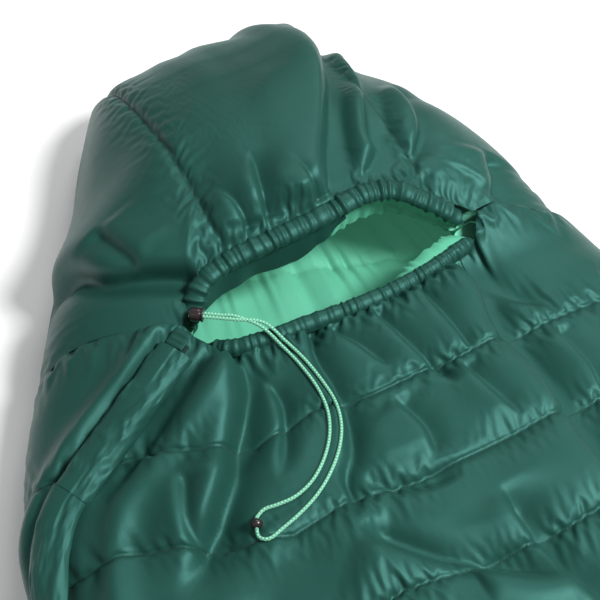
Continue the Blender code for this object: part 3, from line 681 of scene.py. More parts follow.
def fold(points, path, depth, sharp, wide, bulge=0.0, ends=(0.15, 0.25)):
    """A crease along a plan path. The cloth on its positive side stands over it and drops steeply into it,
    and on the other side it rises slowly again."""
    away, part = offset_from(points, curve_through(path, 0.008))
    fade = np.clip(part / max(ends[0], 1e-6), 0, 1) * np.clip((1 - part) / max(ends[1], 1e-6), 0, 1)
    fade = fade * fade * (3 - 2 * fade)
    width = np.where(away > 0, sharp, wide)
    valley = -depth / (1 + (away / width)**2) * np.exp(-(away / (width * 4))**2)
    hump = bulge * np.clip(away, 0, None) / (2.2 * sharp) * np.exp(1 - np.clip(away, 0, None) / (2.2 * sharp))
    return (valley + hump) * fade


def edge_s(p, edge):
    """Where a plan line crosses each column."""
    s = np.full(p.shape, 0.46)
    for _ in range(8):
        s = 0.5 * s + 0.5 * line(edge, top_point(p, s)[..., 0] - SIDE_SHIFT)
    return s


def column_places(count):
    """Columns evenly spaced over the surface, closer together at the face opening."""
    p = np.linspace(-1, 1, 4001)
    path = (top_point(p, 0.5) + top_point(p, 0.62)) / 2
    step = np.linalg.norm(np.diff(path, axis=0), axis=1)
    x = (path[1:, 0] + path[:-1, 0]) / 2
    step = step * (1 + 0.9 * np.exp(-((x - 0.03) / 0.26)**6))
    walked = np.concatenate([[0], np.cumsum(step)])
    return np.interp(np.linspace(0, walked[-1], count), walked, p)


COLS = 321
P = column_places(COLS)
RIM = 1 - np.abs(P)**14


def quilt_s(number, p):
    """The s of a stitched line at each p."""
    s = FIRST_QUILT + QUILT_SPACING * number
    bow = line(QUILT_BOW, np.sign(p) * np.sin(np.abs(p) * math.pi / 2)**0.92)
    fade = np.clip((1.55 - s) / 0.4, 0, 1)
    return s + bow * fade


def channel_rows(count, tight=0.5):
    """Places from 0 to 1 that are closer together at both ends."""
    t = np.linspace(0, 1, count)
    return t * (1 - tight) + tight * (1 - np.cos(math.pi * t)) / 2


# The front, with its foot box: rows follow the stitched lines.
neck_s = edge_s(P, NECK_EDGE)
bounds_s = [neck_s] + [quilt_s(k, P) for k in range(12)] + [np.full(COLS, 1.955), np.full(COLS, 2.05),
                                                            np.full(COLS, LENGTH)]
rows_s, rows_t, rows_channel = [], [], []
for number, (start, end) in enumerate(zip(bounds_s, bounds_s[1:])):
    count = 33 if number == 0 else 27 if number < 5 else 13
    if number == len(bounds_s) - 2:
        count = 21
    for t in channel_rows(count)[:-1]:
        if number == len(bounds_s) - 2:
            t = math.sin(t * math.pi / 2)
        rows_s.append(start + (end - start) * t)
        rows_t.append(t)
        rows_channel.append(number)
rows_s.append(bounds_s[-1])
rows_t.append(0.0)
rows_channel.append(len(bounds_s) - 1)
front_s = np.array(rows_s)
front_t = np.array(rows_t)
front_channel = np.array(rows_channel)
front_base = top_point(P[None], front_s)
front_normal = unit(blur(normals_of(front_base), 3))

near_line = np.minimum(front_t, 1 - front_t) * QUILT_SPACING
puff = 0.0120 * np.sin(math.pi * front_t)**0.45 - 0.0055
puff[front_channel == 0] = 0.0105 * np.sin(math.pi * front_t[front_channel == 0]**0.8)**0.5 - 0.0035
front_lift = puff[:, None] * RIM[None]

FRONT_FOLDS = [
    # The left chest's puff ends in a deep crease towards the middle.
    ([(-0.139, 0.500), (-0.121, 0.526), (-0.121, 0.558), (-0.134, 0.589), (-0.161, 0.633), (-0.176, 0.664),
      (-0.205, 0.700), (-0.238, 0.735), (-0.273, 0.770)], 0.017, 0.008, 0.026, 0.010, (0.05, 0.3)),
    # The middle crease, from the lip down past the second stitched line.
    ([(-0.026, 0.515), (-0.037, 0.557), (-0.034, 0.601), (-0.036, 0.641), (-0.049, 0.683), (-0.067, 0.710),
      (-0.070, 0.737), (-0.082, 0.764)], 0.012, 0.006, 0.020, 0.002, (0.02, 0.2)),
    # The long crease down the right side.
    ([(0.166, 0.490), (0.183, 0.544), (0.176, 0.607), (0.186, 0.655), (0.192, 0.710), (0.189, 0.763),
      (0.200, 0.83), (0.215, 0.90)], 0.020, 0.009, 0.030, 0.010, (0.03, 0.25)),
    ([(0.171, 0.496), (0.214, 0.555), (0.26, 0.60)], 0.012, 0.008, 0.022, 0.004, (0.1, 0.4)),
    ([(0.048, 0.525), (0.064, 0.58), (0.079, 0.625), (0.088, 0.66)], 0.007, 0.005, 0.014, 0.003, (0.1, 0.2)),
    ([(-0.008, 0.527), (0.015, 0.568), (0.033, 0.61)], 0.005, 0.005, 0.012, 0.002, (0.1, 0.3)),
    ([(0.110, 0.515), (0.118, 0.57), (0.128, 0.625)], 0.005, 0.005, 0.014, 0.003, (0.1, 0.2)),
    ([(-0.082, 0.764), (-0.018, 0.822), (0.042, 0.865), (0.10, 0.90)],
     0.014, 0.010, 0.030, 0.009, (0.15, 0.3)),
    ([(-0.061, 0.712), (-0.008, 0.745), (0.052, 0.750)], 0.007, 0.006, 0.018, 0.0, (0.2, 0.3)),
    ([(0.003, 0.90), (-0.006, 0.846), (-0.046, 0.795), (-0.081, 0.759)],
     0.004, 0.008, 0.022, 0.003, (0.2, 0.3)),
    ([(0.073, 0.780), (0.090, 0.874), (0.110, 0.94)], 0.012, 0.007, 0.026, 0.007, (0.2, 0.3)),
    ([(-0.10, 0.56), (-0.095, 0.60), (-0.112, 0.65), (-0.135, 0.69)], 0.007, 0.005, 0.014, 0.003, (0.2, 0.3)),
    ([(0.02, 0.64), (0.035, 0.69), (0.03, 0.73)], 0.006, 0.005, 0.016, 0.003, (0.2, 0.3)),
    ([(0.11, 0.63), (0.118, 0.67), (0.135, 0.72)], 0.006, 0.005, 0.016, 0.003, (0.1, 0.3)),
    ([(0.24, 0.62), (0.25, 0.68), (0.245, 0.74)], 0.006, 0.005, 0.018, 0.003, (0.1, 0.3)),
    ([(-0.22, 0.64), (-0.235, 0.70), (-0.225, 0.74)], 0.006, 0.006, 0.016, 0.003, (0.1, 0.3)),
    ([(-0.25, 0.80), (-0.15, 0.90), (-0.10, 1.02)], 0.010, 0.018, 0.045, 0.004, (0.2, 0.3)),
    ([(0.10, 1.00), (0.05, 1.10), (0.04, 1.25)], 0.009, 0.020, 0.045, 0.004, (0.2, 0.3)),
    ([(-0.18, 1.15), (-0.08, 1.22), (0.02, 1.40)], 0.009, 0.020, 0.045, 0.003, (0.2, 0.3)),
    ([(0.22, 1.05), (0.20, 1.25), (0.16, 1.45)], 0.008, 0.020, 0.045, 0.003, (0.2, 0.3)),
    ([(-0.05, 1.50), (0.04, 1.60), (0.08, 1.78)], 0.008, 0.020, 0.045, 0.003, (0.2, 0.3)),
    ([(-0.20, 1.48), (-0.16, 1.62), (-0.17, 1.80)], 0.007, 0.020, 0.045, 0.003, (0.2, 0.3)),
]
ZIP_PLAN = [(-0.160, 0.484), (-0.172, 0.492), (-0.335, 0.603), (-0.372, 0.66), (-0.39, 0.75), (-0.385, 0.9)]
front_creases = sum(fold(front_base, *each) for each in FRONT_FOLDS) * RIM[None]
front_lift = front_lift + front_creases
# The stuffing stands up on both sides of the zip, and leaves a channel for its tape and room for its flap to
# fold back.
OUTSIDE = 1  # the sign of places beyond the zip, towards the left rim
zip_away, zip_part = offset_from(front_base, ZIP_PLAN)
zip_side = np.where(zip_away > 0, 1, -1)
zip_away = np.abs(zip_away)
outer_puff = np.exp(-((zip_away - 0.034) / 0.015)**2) * 0.015 * (zip_side == OUTSIDE)
inner_puff = np.exp(-((zip_away - 0.064) / 0.017)**2) * 0.011 * (zip_side != OUTSIDE)
folding_room = np.exp(-((zip_away - 0.034) / 0.012)**4) * 0.005 * (zip_side != OUTSIDE) * (zip_part < 0.42)
beside_zip = outer_puff + inner_puff - np.exp(-(zip_away / 0.022)**4) * 0.004 - folding_room
front_lift += beside_zip * np.clip((1 - zip_part) / 0.3, 0, 1) * RIM[None]
between_lines = np.clip(near_line / 0.03, 0.3, 1)[:, None]
front_lift += soft_noise(front_lift.shape, 22, 5) * 0.0028 * RIM[None] * between_lines
front_bed = front_base + front_normal * front_lift[..., None]

x_front, _ = plan_of(front_base)
from_lip = np.clip((front_s - neck_s[None]) / 0.05, 0, 1)
over_lip = (x_front > -0.175) * (x_front < 0.225) * (front_s < 0.60)
quilt_gather = 0.15 * np.exp(-near_line / 0.013)[:, None]
uneven = np.clip(1 + 0.5 * soft_noise(x_front.shape, 30, 9), 0.2, 2)
front_across = (0.008 + quilt_gather) * uneven + 0.22 * (1 - from_lip)**2 * over_lip
front_along = np.clip(0.012 + 0.012 * soft_noise(x_front.shape, 40, 8), 0, 0.08)
front_across = front_across * (0.3 + 0.7 * RIM[None])
front_free = np.ones(front_lift.shape)
front_free[front_t == 0] = 0
front_free[0] = 0
front_free[-1] = 0
front_free[:, 0] = 0
front_free[:, -1] = 0
front_points = drape(front_bed, front_normal, front_across, front_along, front_free, 31)
from_neck = np.clip((front_s - neck_s) / 0.01, 0, 1)
front_points += front_normal * (0.50 * blur(front_creases, 3) * from_neck)[..., None]
front_points = keep_above(front_points, front_base, front_normal)

# The hood: rows run from the head end to the hem, or to the neck seam beside the opening.
hood_end = edge_s(P, HOOD_EDGE)
hood_rows = 141
path = top_point(0.35, np.linspace(0, NECK, 800))
walked = np.concatenate([[0], np.cumsum(np.linalg.norm(np.diff(path, axis=0), axis=1))])
hood_share = np.interp(np.linspace(0, walked[-1], hood_rows), walked, np.linspace(0, 1, 800))
hood_s = hood_share[:, None] * hood_end[None]
hood_base = top_point(P[None], hood_s)
hood_normal = unit(blur(normals_of(hood_base), 3))
x_hood, s_hood = plan_of(hood_base)


def seam_path(seam, shares=(0, 0.25, 0.5, 0.75, 0.92)):
    """Plan places along a hood seam, from the head end towards the neck."""
    return [(seam[0] + (seam[1] - seam[0]) * t, NECK * t) for t in shares]


left_away, _ = offset_from(hood_base, seam_path(LEFT_SEAM))
right_away, _ = offset_from(hood_base, seam_path(RIGHT_SEAM))
HOOD_TOP = cad_high.z + 0.003
HOOD_FOLDS = [
    # The first large fold: the middle panel's right edge stands over a recess.
    ([(0.166, 0.030), (0.150, 0.100), (0.140, 0.183), (0.098, 0.287), (0.066, 0.361), (0.057, 0.405)],
     0.030, 0.011, 0.036, 0.012, (0.08, 0.06)),
    ([(0.200, 0.100), (0.180, 0.217), (0.142, 0.319), (0.135, 0.354), (0.096, 0.391)],
     0.020, 0.009, 0.030, 0.012, (0.15, 0.15)),
    # The hood's side puffs over the neck.
    ([(-0.129, 0.430), (-0.177, 0.408), (-0.230, 0.379), (-0.273, 0.325), (-0.36, 0.30)],
     0.018, 0.010, 0.020, 0.010, (0.05, 0.05)),
    ([(-0.184, 0.394), (-0.200, 0.355), (-0.215, 0.315)], 0.007, 0.007, 0.016, 0.003, (0.2, 0.2)),
    ([(0.225, 0.22), (0.208, 0.322), (0.168, 0.385)], 0.010, 0.008, 0.024, 0.005, (0.2, 0.2)),
    ([(0.282, 0.370), (0.267, 0.422), (0.250, 0.440)], 0.009, 0.007, 0.020, 0.004, (0.2, 0.2)),
    ([(-0.018, 0.31), (-0.025, 0.36), (-0.03, 0.40)], 0.008, 0.006, 0.016, 0.005, (0.5, 0.05)),
    ([(0.020, 0.33), (0.030, 0.37), (0.035, 0.40)], 0.008, 0.006, 0.014, 0.004, (0.5, 0.05)),
    ([(-0.075, 0.34), (-0.060, 0.37), (-0.055, 0.405)], 0.006, 0.006, 0.014, 0.003, (0.5, 0.05)),
]
hood_edge_away = np.minimum(np.abs(left_away), np.abs(right_away))
hood_lift = 0.003 - 0.006 / (1 + (hood_edge_away / 0.006)**2)
to_end = hood_end[None] - hood_s
hood_lift = hood_lift * np.clip(to_end / 0.03, 0, 1) - 0.002 * (1 - np.clip(to_end / 0.02, 0, 1))
hood_lift = hood_lift * RIM[None]
hood_creases = sum(fold(hood_base, *each) for each in HOOD_FOLDS) * RIM[None]
brow = 0.011 * np.exp(-((x_hood + 0.01) / 0.085)**2 - ((s_hood - 0.365) / 0.030)**2)
hood_lift = hood_lift + hood_creases + brow
hood_lift += soft_noise(hood_lift.shape, 26, 6) * 0.003 * RIM[None] * np.clip(to_end / 0.05, 0, 1)
hood_bed = hood_base + hood_normal * hood_lift[..., None]
over_hem = (x_hood > -0.165) * (x_hood < 0.215)
gather = np.exp(-hood_edge_away / 0.02)
calm = np.clip(1 + 0.6 * soft_noise(x_hood.shape, 34, 12), 0.1, 2.2)
hood_across = 0.006 * calm + 0.02 * gather + 0.20 * np.clip(1 - to_end / 0.06, 0, 1)**2 * over_hem
hood_along = 0.005 * calm + 0.06 * gather + 0.05 * np.clip(1 - to_end / 0.06, 0, 1) * (1 - over_hem)
hood_free = np.ones(hood_lift.shape)
hood_free[0] = 0
hood_free[-1] = 0
hood_free[:, 0] = 0
hood_free[:, -1] = 0
hood_points = drape(hood_bed, hood_normal, hood_across, hood_along, hood_free, 57, 0.010)
hood_points += hood_normal * (0.35 * blur(hood_creases, 3) * np.clip(to_end / 0.02, 0, 1))[..., None]
hood_points = keep_above(hood_points, hood_base, hood_normal)
over = np.clip(hood_points[..., 2] - HOOD_TOP, 0, None)
hood_points[..., 2] -= over - 0.007 * (1 - np.exp(-over / 0.007))


# The cord presses the front's cloth to the height that it lies at.
cord_x, cord_s = plan_of(cord_path)
lying = (cord_s > 0.522) & (np.linalg.norm(cord_path - lock_centre, axis=1) > 0.06)
laid = cord_path[lying]
wanted = on_top(cord_x[lying], cord_s[lying], 0.0004)[:, 2]
near_cord = np.argwhere((np.abs(front_points[..., 0] + 0.105) < 0.13)
                        & (np.abs(front_points[..., 1] - 0.44) < 0.17))
local = front_points[near_cord[:, 0], near_cord[:, 1]]
gaps = np.linalg.norm(local[:, None, :2] - laid[None, :, :2], axis=2)
under = local[np.argmin(gaps, axis=0), 2]
change = wanted - under
change = np.convolve(np.pad(change, 4, mode="edge"), np.ones(9) / 9, mode="valid")
closest = np.argmin(gaps, axis=1)
away = gaps[np.arange(len(local)), closest]
local[:, 2] += change[closest] * np.exp(-(away / 0.020)**2)
ceiling = wanted[closest] + 0.0002 + np.clip(away - 0.0015, 0, None) * 0.9
local[:, 2] = np.where(away < 0.009, np.minimum(local[:, 2], ceiling), local[:, 2])
front_points[near_cord[:, 0], near_cord[:, 1]] = local

split = int(np.argmin(np.abs(front_s[:, COLS // 2] - FOOTBOX)))
front = piece("front_panel", grid_mesh("front_panel", front_points[:split + 1]), "bag", shell,
              ["front_shell", "front_insulation"])
footbox = piece("foot_box", grid_mesh("foot_box", front_points[split:]), "bag", shell,
                ["footbox_shell", "footbox_insulation"])
hood = piece("hood_panels", grid_mesh("hood_panels", hood_points), "bag", shell,
             ["hood_shell_left", "hood_shell_centre", "hood_shell_right", "hood_insulation"])

# The back: flat on the floor, quilted, with a rounded side.
back_u = np.sin(np.linspace(-1, 1, 121) * math.pi / 2)
back_s = np.concatenate([np.linspace(0, 0.10, 14)[:-1], np.linspace(0.10, 2.05, 196)[:-1],
                         np.linspace(2.05, LENGTH, 14)])
back_base = back_point(back_u[None], back_s[:, None])
back_normal = -unit(blur(normals_of(back_base), 2))
quilt_phase = (back_s - FIRST_QUILT) / QUILT_SPACING
back_height = np.clip(back_base[..., 2] / 0.02, 0, 1)
back_lift = (0.009 * np.abs(np.sin(math.pi * quilt_phase))**0.6 - 0.004)[:, None] * back_height
back_lift += soft_noise(back_lift.shape, 6, 77) * 0.0022 * back_height
back_ends = np.clip(np.minimum(back_s, LENGTH - back_s) / 0.03, 0, 1)[:, None]
back_lift *= (1 - np.abs(back_u)**30)[None] * back_ends
groove = np.exp(-(np.abs(np.sin(math.pi * quilt_phase)) / 0.12)**2)[:, None]
back_points = back_base + back_normal * back_lift[..., None]
back_points[..., 2] += groove * 0.0016 * (1 - back_height)
back_points[..., 2] = np.maximum(back_points[..., 2], 0.0001)
back_piece = piece("back_panel", grid_mesh("back_panel", back_points[:, ::-1]), "bag", shell,
                   ["back_shell", "back_insulation"])

# ---------------------------------------------------------------- gathered hems round the face opening


def hem_line(points, spacing, dip=0.018, dip_length=0.05):
    """The middle of a hem channel in the face opening's edge, dipping at both ends."""
    plan = curve_through(points, spacing)
    walked = np.concatenate([[0], np.cumsum(np.linalg.norm(np.diff(plan, axis=0), axis=1))])
    end = np.minimum(walked, walked[-1] - walked)
    drop = dip * np.clip(1 - end / dip_length, 0, 1)**2
    middle = on_top(plan[:, 0], plan[:, 1], 0.0)
    middle[:, 2] -= 0.002 + drop
    return plan, middle, walked


def pleats(walked, seed, wavelengths, sway):
    """Sharp-backed random gathers along a hem; sway moves them by a share of their width."""
    made = np.random.default_rng(seed)
    total = 0
    for size, height in wavelengths:
        pace = 1 + 0.55 * np.interp(walked, np.linspace(0, walked[-1], 30), made.uniform(-1, 1, 30))
        phase = np.cumsum(np.gradient(walked) * pace)[:, None] / size + sway
        strength = np.interp(walked, np.linspace(0, walked[-1], 32), made.uniform(0.1, 1.5, 32))[:, None]
        total = total + height * strength * (1 - 2 * np.abs(np.sin(math.pi * phase))**0.8)
    return total


def gathered_band(points, section, outward, seed, wavelengths, spacing=0.0016):
    """A drawn-up band of fabric round a hem: its section is (outward, up, how much it gathers) points."""
    plan, middle, walked = hem_line(points, spacing)
    tangent = unit(np.gradient(middle, axis=0))
    p = p_at(plan[:, 0], plan[:, 1])
    step = 0.004
    across = top_point(p + step, plan[:, 1]) - top_point(p - step, plan[:, 1])
    down = top_point(p, plan[:, 1] + step) - top_point(p, plan[:, 1] - step)
    up = unit(np.cross(down, across))
    up = unit(up - tangent * np.sum(up * tangent, axis=1, keepdims=True))
    out = np.cross(tangent, up) * outward
    shape = curve_through(np.array(section) * [1, 1, 0.01], 0.0008) * [1, 1, 100]
    sides = unit(np.gradient(shape[:, :2], axis=0))
    facing = np.stack([-sides[:, 1], sides[:, 0]], -1)
    if facing[len(facing) // 3] @ shape[len(shape) // 3, :2] < 0:
        facing = -facing
    sway = np.linspace(0, 1, len(shape))[None] * 0.35 * np.sin(walked * 55 + seed)[:, None]
    lift = pleats(walked, seed, wavelengths, sway) * shape[None, :, 2]
    ends = np.clip(np.minimum(walked, walked[-1] - walked) / 0.012, 0.35, 1)[:, None]
    o = shape[None, :, 0] * ends + facing[None, :, 0] * lift
    u = shape[None, :, 1] * ends + facing[None, :, 1] * lift
    return middle[:, None] + out[:, None] * o[..., None] + up[:, None] * u[..., None]


HOOD_SECTION = [(0.0175, -0.0035, 0.2), (0.0150, 0.0035, 0.9), (0.0090, 0.0075, 1.0), (0.0010, 0.0085, 0.9),
                (-0.0060, 0.0062, 0.7), (-0.0092, 0.0005, 0.45), (-0.0070, -0.0060, 0.7),
                (0.0010, -0.0085, 0.8),
                (0.0110, -0.0085, 0.5), (0.0165, -0.0070, 0.2)]
NECK_SECTION = [(0.0130, -0.0030, 0.2), (0.0105, 0.0030, 0.9), (0.0060, 0.0060, 1.0), (0.0000, 0.0068, 0.9),
                (-0.0055, 0.0045, 0.7), (-0.0078, 0.0000, 0.5), (-0.0058, -0.0050, 0.7),
                (0.0010, -0.0072, 0.8),
                (0.0080, -0.0072, 0.5), (0.0125, -0.0060, 0.2)]
for name, line_points, section, outward, seed, waves, nodes in (
        ("hood_hem", HOOD_HEM, HOOD_SECTION, -1, 4, [(0.0145, 0.0020), (0.0083, 0.0013), (0.031, 0.0010)],
         ["hood_hem_channel", "hood_channel_cord"]),
        ("neck_hem", NECK_HEM, NECK_SECTION, 1, 9, [(0.0125, 0.0013), (0.0072, 0.0009), (0.027, 0.0007)],
         ["neck_hem_channel", "neck_channel_cord"])):
    band = gathered_band(line_points, section, outward, seed, waves)
    piece(name, grid_mesh(name, band), "bag", hem_fabric, nodes)

# ---------------------------------------------------------------- facing, lining and inside walls


def hung_strip(points, span, rows, drop, inward, waves, seed, start=(0.0, -0.0075), spacing=0.003):
    """Cloth that hangs from a stretch of a hem: how far it drops and swings inward, and its soft waves."""
    plan, middle, walked = hem_line(points, spacing)
    share = walked / walked[-1]
    keep = (share >= span[0]) & (share <= span[1])
    middle, walked = middle[keep], walked[keep]
    share = (share[keep] - span[0]) / (span[1] - span[0])
    tangent = unit(np.gradient(middle, axis=0) * [1, 1, 0])
    inside = np.stack([-tangent[:, 1], tangent[:, 0], 0 * tangent[:, 0]], -1)
    down = np.linspace(0, 1, rows)[:, None]
    fallen = line(drop, share)[None] * down
    swung = line(inward, share)[None] * down**0.8 + start[0]
    made = np.random.default_rng(seed)
    for size, height in waves:
        start_phase = made.uniform(0, 1)
        drift = np.interp(walked, np.linspace(walked[0], walked[-1], 7), made.normal(size=7))
        phase = walked / size + start_phase + 0.4 * drift
        swung = swung + height * np.sin(math.tau * phase)[None] * (0.25 + 0.75 * down)
    points = middle[None] + inside[None] * swung[..., None]
    points[..., 2] += start[1] - fallen
    return points


FACING_DROP = [(0, 0.026), (0.2, 0.042), (0.70, 0.044), (0.90, 0.028), (1, 0.006)]
facing_points = hung_strip(HOOD_HEM, (0.0, 0.60), 22, FACING_DROP,
                           [(0, 0.004), (0.3, 0.002), (1, -0.004)], [(0.085, 0.0022), (0.040, 0.0008)], 3)
facing = piece("hood_facing_cloth", grid_mesh("hood_facing_cloth", facing_points), "bag", shell,
               ["hood_facing"])
lining_wall = hung_strip(HOOD_HEM, (0.0, 1.0), 18, [(0, 0.03), (0.5, 0.05), (1, 0.03)],
                         [(0, 0.004), (1, 0.004)], [(0.017, 0.0016), (0.009, 0.0008)], 8, (0.004, -0.0060))
piece("hood_inner_wall", grid_mesh("hood_inner_wall", lining_wall), "bag", lining)
neck_wall = hung_strip(NECK_HEM, (0.0, 1.0), 14, [(0, 0.02), (0.5, 0.034), (1, 0.02)],
                       [(0, -0.003), (1, -0.003)], [(0.017, 0.0012), (0.009, 0.0006)], 18, (-0.003, -0.0060))
piece("neck_inner_wall", grid_mesh("neck_inner_wall", neck_wall), "bag", lining)
collar_points = hung_strip(NECK_HEM, (0.66, 0.995), 18, [(0, 0.012), (0.5, 0.006), (1, 0.004)],
                           [(0, 0.010), (0.3, 0.022), (0.8, 0.026), (1, 0.014)],
                           [(0.045, 0.0020), (0.019, 0.0010)], 21, (0.004, 0.0010), 0.002)
collar_points[..., 2] -= 0.004 * np.linspace(0, 1, 18)[:, None]**2
collar = piece("lining_collar", grid_mesh("lining_collar", collar_points), "bag", lining)

LINING_DEPTH = 0.0309


def lining_sheet(name, p, s, seed, nodes, puff=0.004):
    """The quilted lining below a stretch of the upper surface."""
    base = top_point(p, s, LINING_DEPTH)
    down = np.gradient(base, axis=0)
    across = np.gradient(base, axis=1)
    inward = -unit(np.cross(down, across))
    phase = (s - FIRST_QUILT) / QUILT_SPACING
    lift = puff * np.abs(np.sin(math.pi * phase))**0.6 + soft_noise(base.shape[:2], 5, seed) * 0.0012
    pucker = soft_noise((1, base.shape[1]), 2.2, seed + 1)
    lift = lift + pucker * 0.0016 * np.exp(-np.abs(np.sin(math.pi * phase)) / 0.5)
    piece(name, grid_mesh(name, base + inward * lift[..., None]), "bag", lining, nodes)


for name, sheet_s, seed in (("hood_lining", hood_s[::4, ::2], 91),
                            ("front_lining", front_s[:split + 1:5, ::2], 92),
                            ("footbox_lining", front_s[split::3, ::2], 93)):
    lining_sheet(name + "_cloth", P[None, ::2], sheet_s, seed, [name])

lining_u = np.linspace(-1, 1, 241)
lining_s = np.concatenate([np.linspace(0, 0.75, 190)[:-1], np.linspace(0.75, LENGTH, 120)])[:, None]
lining_base = back_point(lining_u[None], lining_s, LINING_DEPTH)
lining_stitch = 0.372 + 0.06 * lining_u[None]
to_stitch = lining_s - lining_stitch
cushion = 0.024 * np.exp(-((lining_s - 0.36) / 0.16)**2) * (1 - lining_u[None]**4)
sewn = 0.007 * (1 - np.exp(-np.abs(to_stitch) / 0.016))
creases = (soft_noise((1, 241), 2.6, 61) * np.exp(-np.abs(to_stitch) / 0.045) * 0.0022
           + soft_noise((1, 241), 6.0, 62) * np.exp(-np.abs(to_stitch) / 0.10) * 0.0030
           + soft_noise(lining_base.shape[:2], 9, 63) * 0.0012)
lining_base[..., 2] += cushion + sewn + creases * (1 - np.abs(lining_u[None])**8)
# The back lining carries its material's painted glow.
piece("back_lining_cloth", grid_mesh("back_lining_cloth", lining_base), "bag", back_lining_with_painted_light,
      ["back_lining"])

# ---------------------------------------------------------------- the zip, its flap and its tab

ZIP_START = np.array([-0.17182, 0.58315, 0.16317])
ZIP_ALONG = np.array([-0.8093, -0.55112, -0.20322])
ZIP_ACROSS = np.array([0.53013, -0.8343, 0.15138])
ZIP_NORMAL = np.array([-0.25297, 0.01478, 0.96736])
ZIP_STRAIGHT = 0.2014
FLAP_SECTION = [(0.0270, -0.0016), (0.0250, 0.0034), (0.0215, 0.0080), (0.0165, 0.0112), (0.0100, 0.0130),
                (0.0020, 0.0138), (-0.0060, 0.0136), (-0.0115, 0.0124), (-0.0155, 0.0098), (-0.0180, 0.0062)]


def surface_normal(p, s):
    step = 0.004
    across = top_point(p + step, s) - top_point(p - step, s)
    down = top_point(p, s + step) - top_point(p, s - step)
    return unit(np.cross(down, across))


def side_zip_frames(first, last, step):
    """Places, across directions and normals along the zip below its straight stretch."""
    turn = p_at(-0.335, 0.603)
    s = np.arange(first, last, step)

    def run(at):
        p = turn - (0.93 + turn) * (1 - np.exp(-(at - 0.603) / 0.09))
        return p, top_point(p, at)

    p, place = run(s)
    up = surface_normal(p, s)
    mix = np.clip((s - 0.603) / 0.10, 0, 1)[:, None]
    up = unit(ZIP_NORMAL * (1 - mix) + up * mix)
    gap = np.linalg.norm(ZIP_START + ZIP_ALONG * ZIP_STRAIGHT - on_top(-0.335, 0.603))
    place = place + up * (gap + (0.0044 - gap) * mix)
    ahead = unit(run(s + 0.01)[1] - run(s - 0.01)[1])
    across = unit(np.cross(up, ahead))
    return place, across, np.cross(ahead, across)


def flap_mesh(name, place, across, normal, seed):
    """A folded strip of shell fabric with a turned edge, a little uneven along its length."""
    outer = curve_through([(b, n) for b, n in FLAP_SECTION], 0.0012)
    turned = unit(np.gradient(outer, axis=0))
    inner = outer + np.stack([turned[:, 1], -turned[:, 0]], -1) * -0.0011
    inner[:, 1] = np.minimum(inner[:, 1], outer[:, 1] - 0.0004)
    rim = (outer[-1] + inner[-1]) / 2 + [-0.0005, 0]
    section = np.vstack([outer, rim[None], inner[::-1]])
    walked = np.concatenate([[0], np.cumsum(np.linalg.norm(np.diff(place, axis=0), axis=1))])
    made = np.random.default_rng(seed)
    wobble = np.zeros(len(walked))
    for size, height in ((0.11, 0.0012), (0.046, 0.0008), (0.021, 0.0005)):
        wobble += height * np.sin(math.tau * (walked / size + made.uniform(0, 1)))
    free_edge = np.clip((0.015 - section[:, 0]) / 0.028, 0, 1)
    stitch = -0.00055 * np.exp(-((section[:, 0] + 0.0095) / 0.0012)**2)
    grain = soft_noise((len(walked), len(outer)), 3, seed) * 0.0005
    grain = grain + soft_noise((len(walked), len(outer)), 9, seed + 40) * 0.0012
    grain = np.hstack([grain, grain[:, -1:], grain[:, ::-1]])
    change = wobble[:, None] * free_edge[None] + stitch[None] + grain
    over_pull = np.abs(section[None, :, 0] + 0.002) < 0.0105
    up = section[None, :, 1] + np.where(over_pull, np.maximum(change, 0), change)
    out = section[None, :, 0] + 0.4 * wobble[:, None] * free_edge[None]
    points = place[:, None] + across[:, None] * out[..., None] + normal[:, None] * up[..., None]
    return grid_mesh(name, points, True)


straight_at = np.linspace(0.012, ZIP_STRAIGHT, 76)[:, None]
straight = ZIP_START + ZIP_ALONG * straight_at
same = np.ones((76, 1))
piece("zip_cover_upper", flap_mesh("zip_cover_upper", straight, ZIP_ACROSS * same, ZIP_NORMAL * same, 5),
      "zip_flap", shell, ["zip_flap_upper"])
side_place, side_across, side_normal = side_zip_frames(0.623, 1.62, 0.003)
join = ZIP_START + ZIP_ALONG * (ZIP_STRAIGHT + 0.0006)
# The strip bends smoothly from the straight stretch into the one along the side.
BEND = 44
bend_end = side_place[BEND]
bend_plan = np.stack(plan_of(np.stack([join, bend_end])), -1)
way = np.array([ZIP_ALONG[:2], (side_place[BEND + 1] - side_place[BEND - 1])[:2]]) * [1, -1]
way = unit(way) * np.linalg.norm(bend_plan[1] - bend_plan[0])
u = np.linspace(0, 1, BEND + 1)[:-1, None]
bent = ((2 * u**3 - 3 * u**2 + 1) * bend_plan[0] + (u**3 - 2 * u**2 + u) * way[0]
        + (3 * u**2 - 2 * u**3) * bend_plan[1] + (u**3 - u**2) * way[1])
bent_place = on_top(bent[:, 0], bent[:, 1])
rise = [q[2] - on_top(*w)[2] for q, w in zip((join, bend_end), bend_plan)]
bent_place[:, 2] += rise[0] + (rise[1] - rise[0]) * u[:, 0]
blend = u * u * (3 - 2 * u)
ahead = unit(np.gradient(np.vstack([bent_place, bend_end]), axis=0))[:-1]
ahead[0] = ZIP_ALONG
bent_normal = unit(ZIP_NORMAL * (1 - blend) + side_normal[BEND] * blend)
bent_across = unit(np.cross(bent_normal, ahead))
side_place = np.vstack([bent_place, side_place[BEND:]])
side_across = np.vstack([bent_across, side_across[BEND:]])
side_normal = np.vstack([np.cross(ahead, bent_across), side_normal[BEND:]])
piece("zip_cover_lower", flap_mesh("zip_cover_lower", side_place, side_across, side_normal, 6), "bag", shell,
      ["zip_flap_lower"])

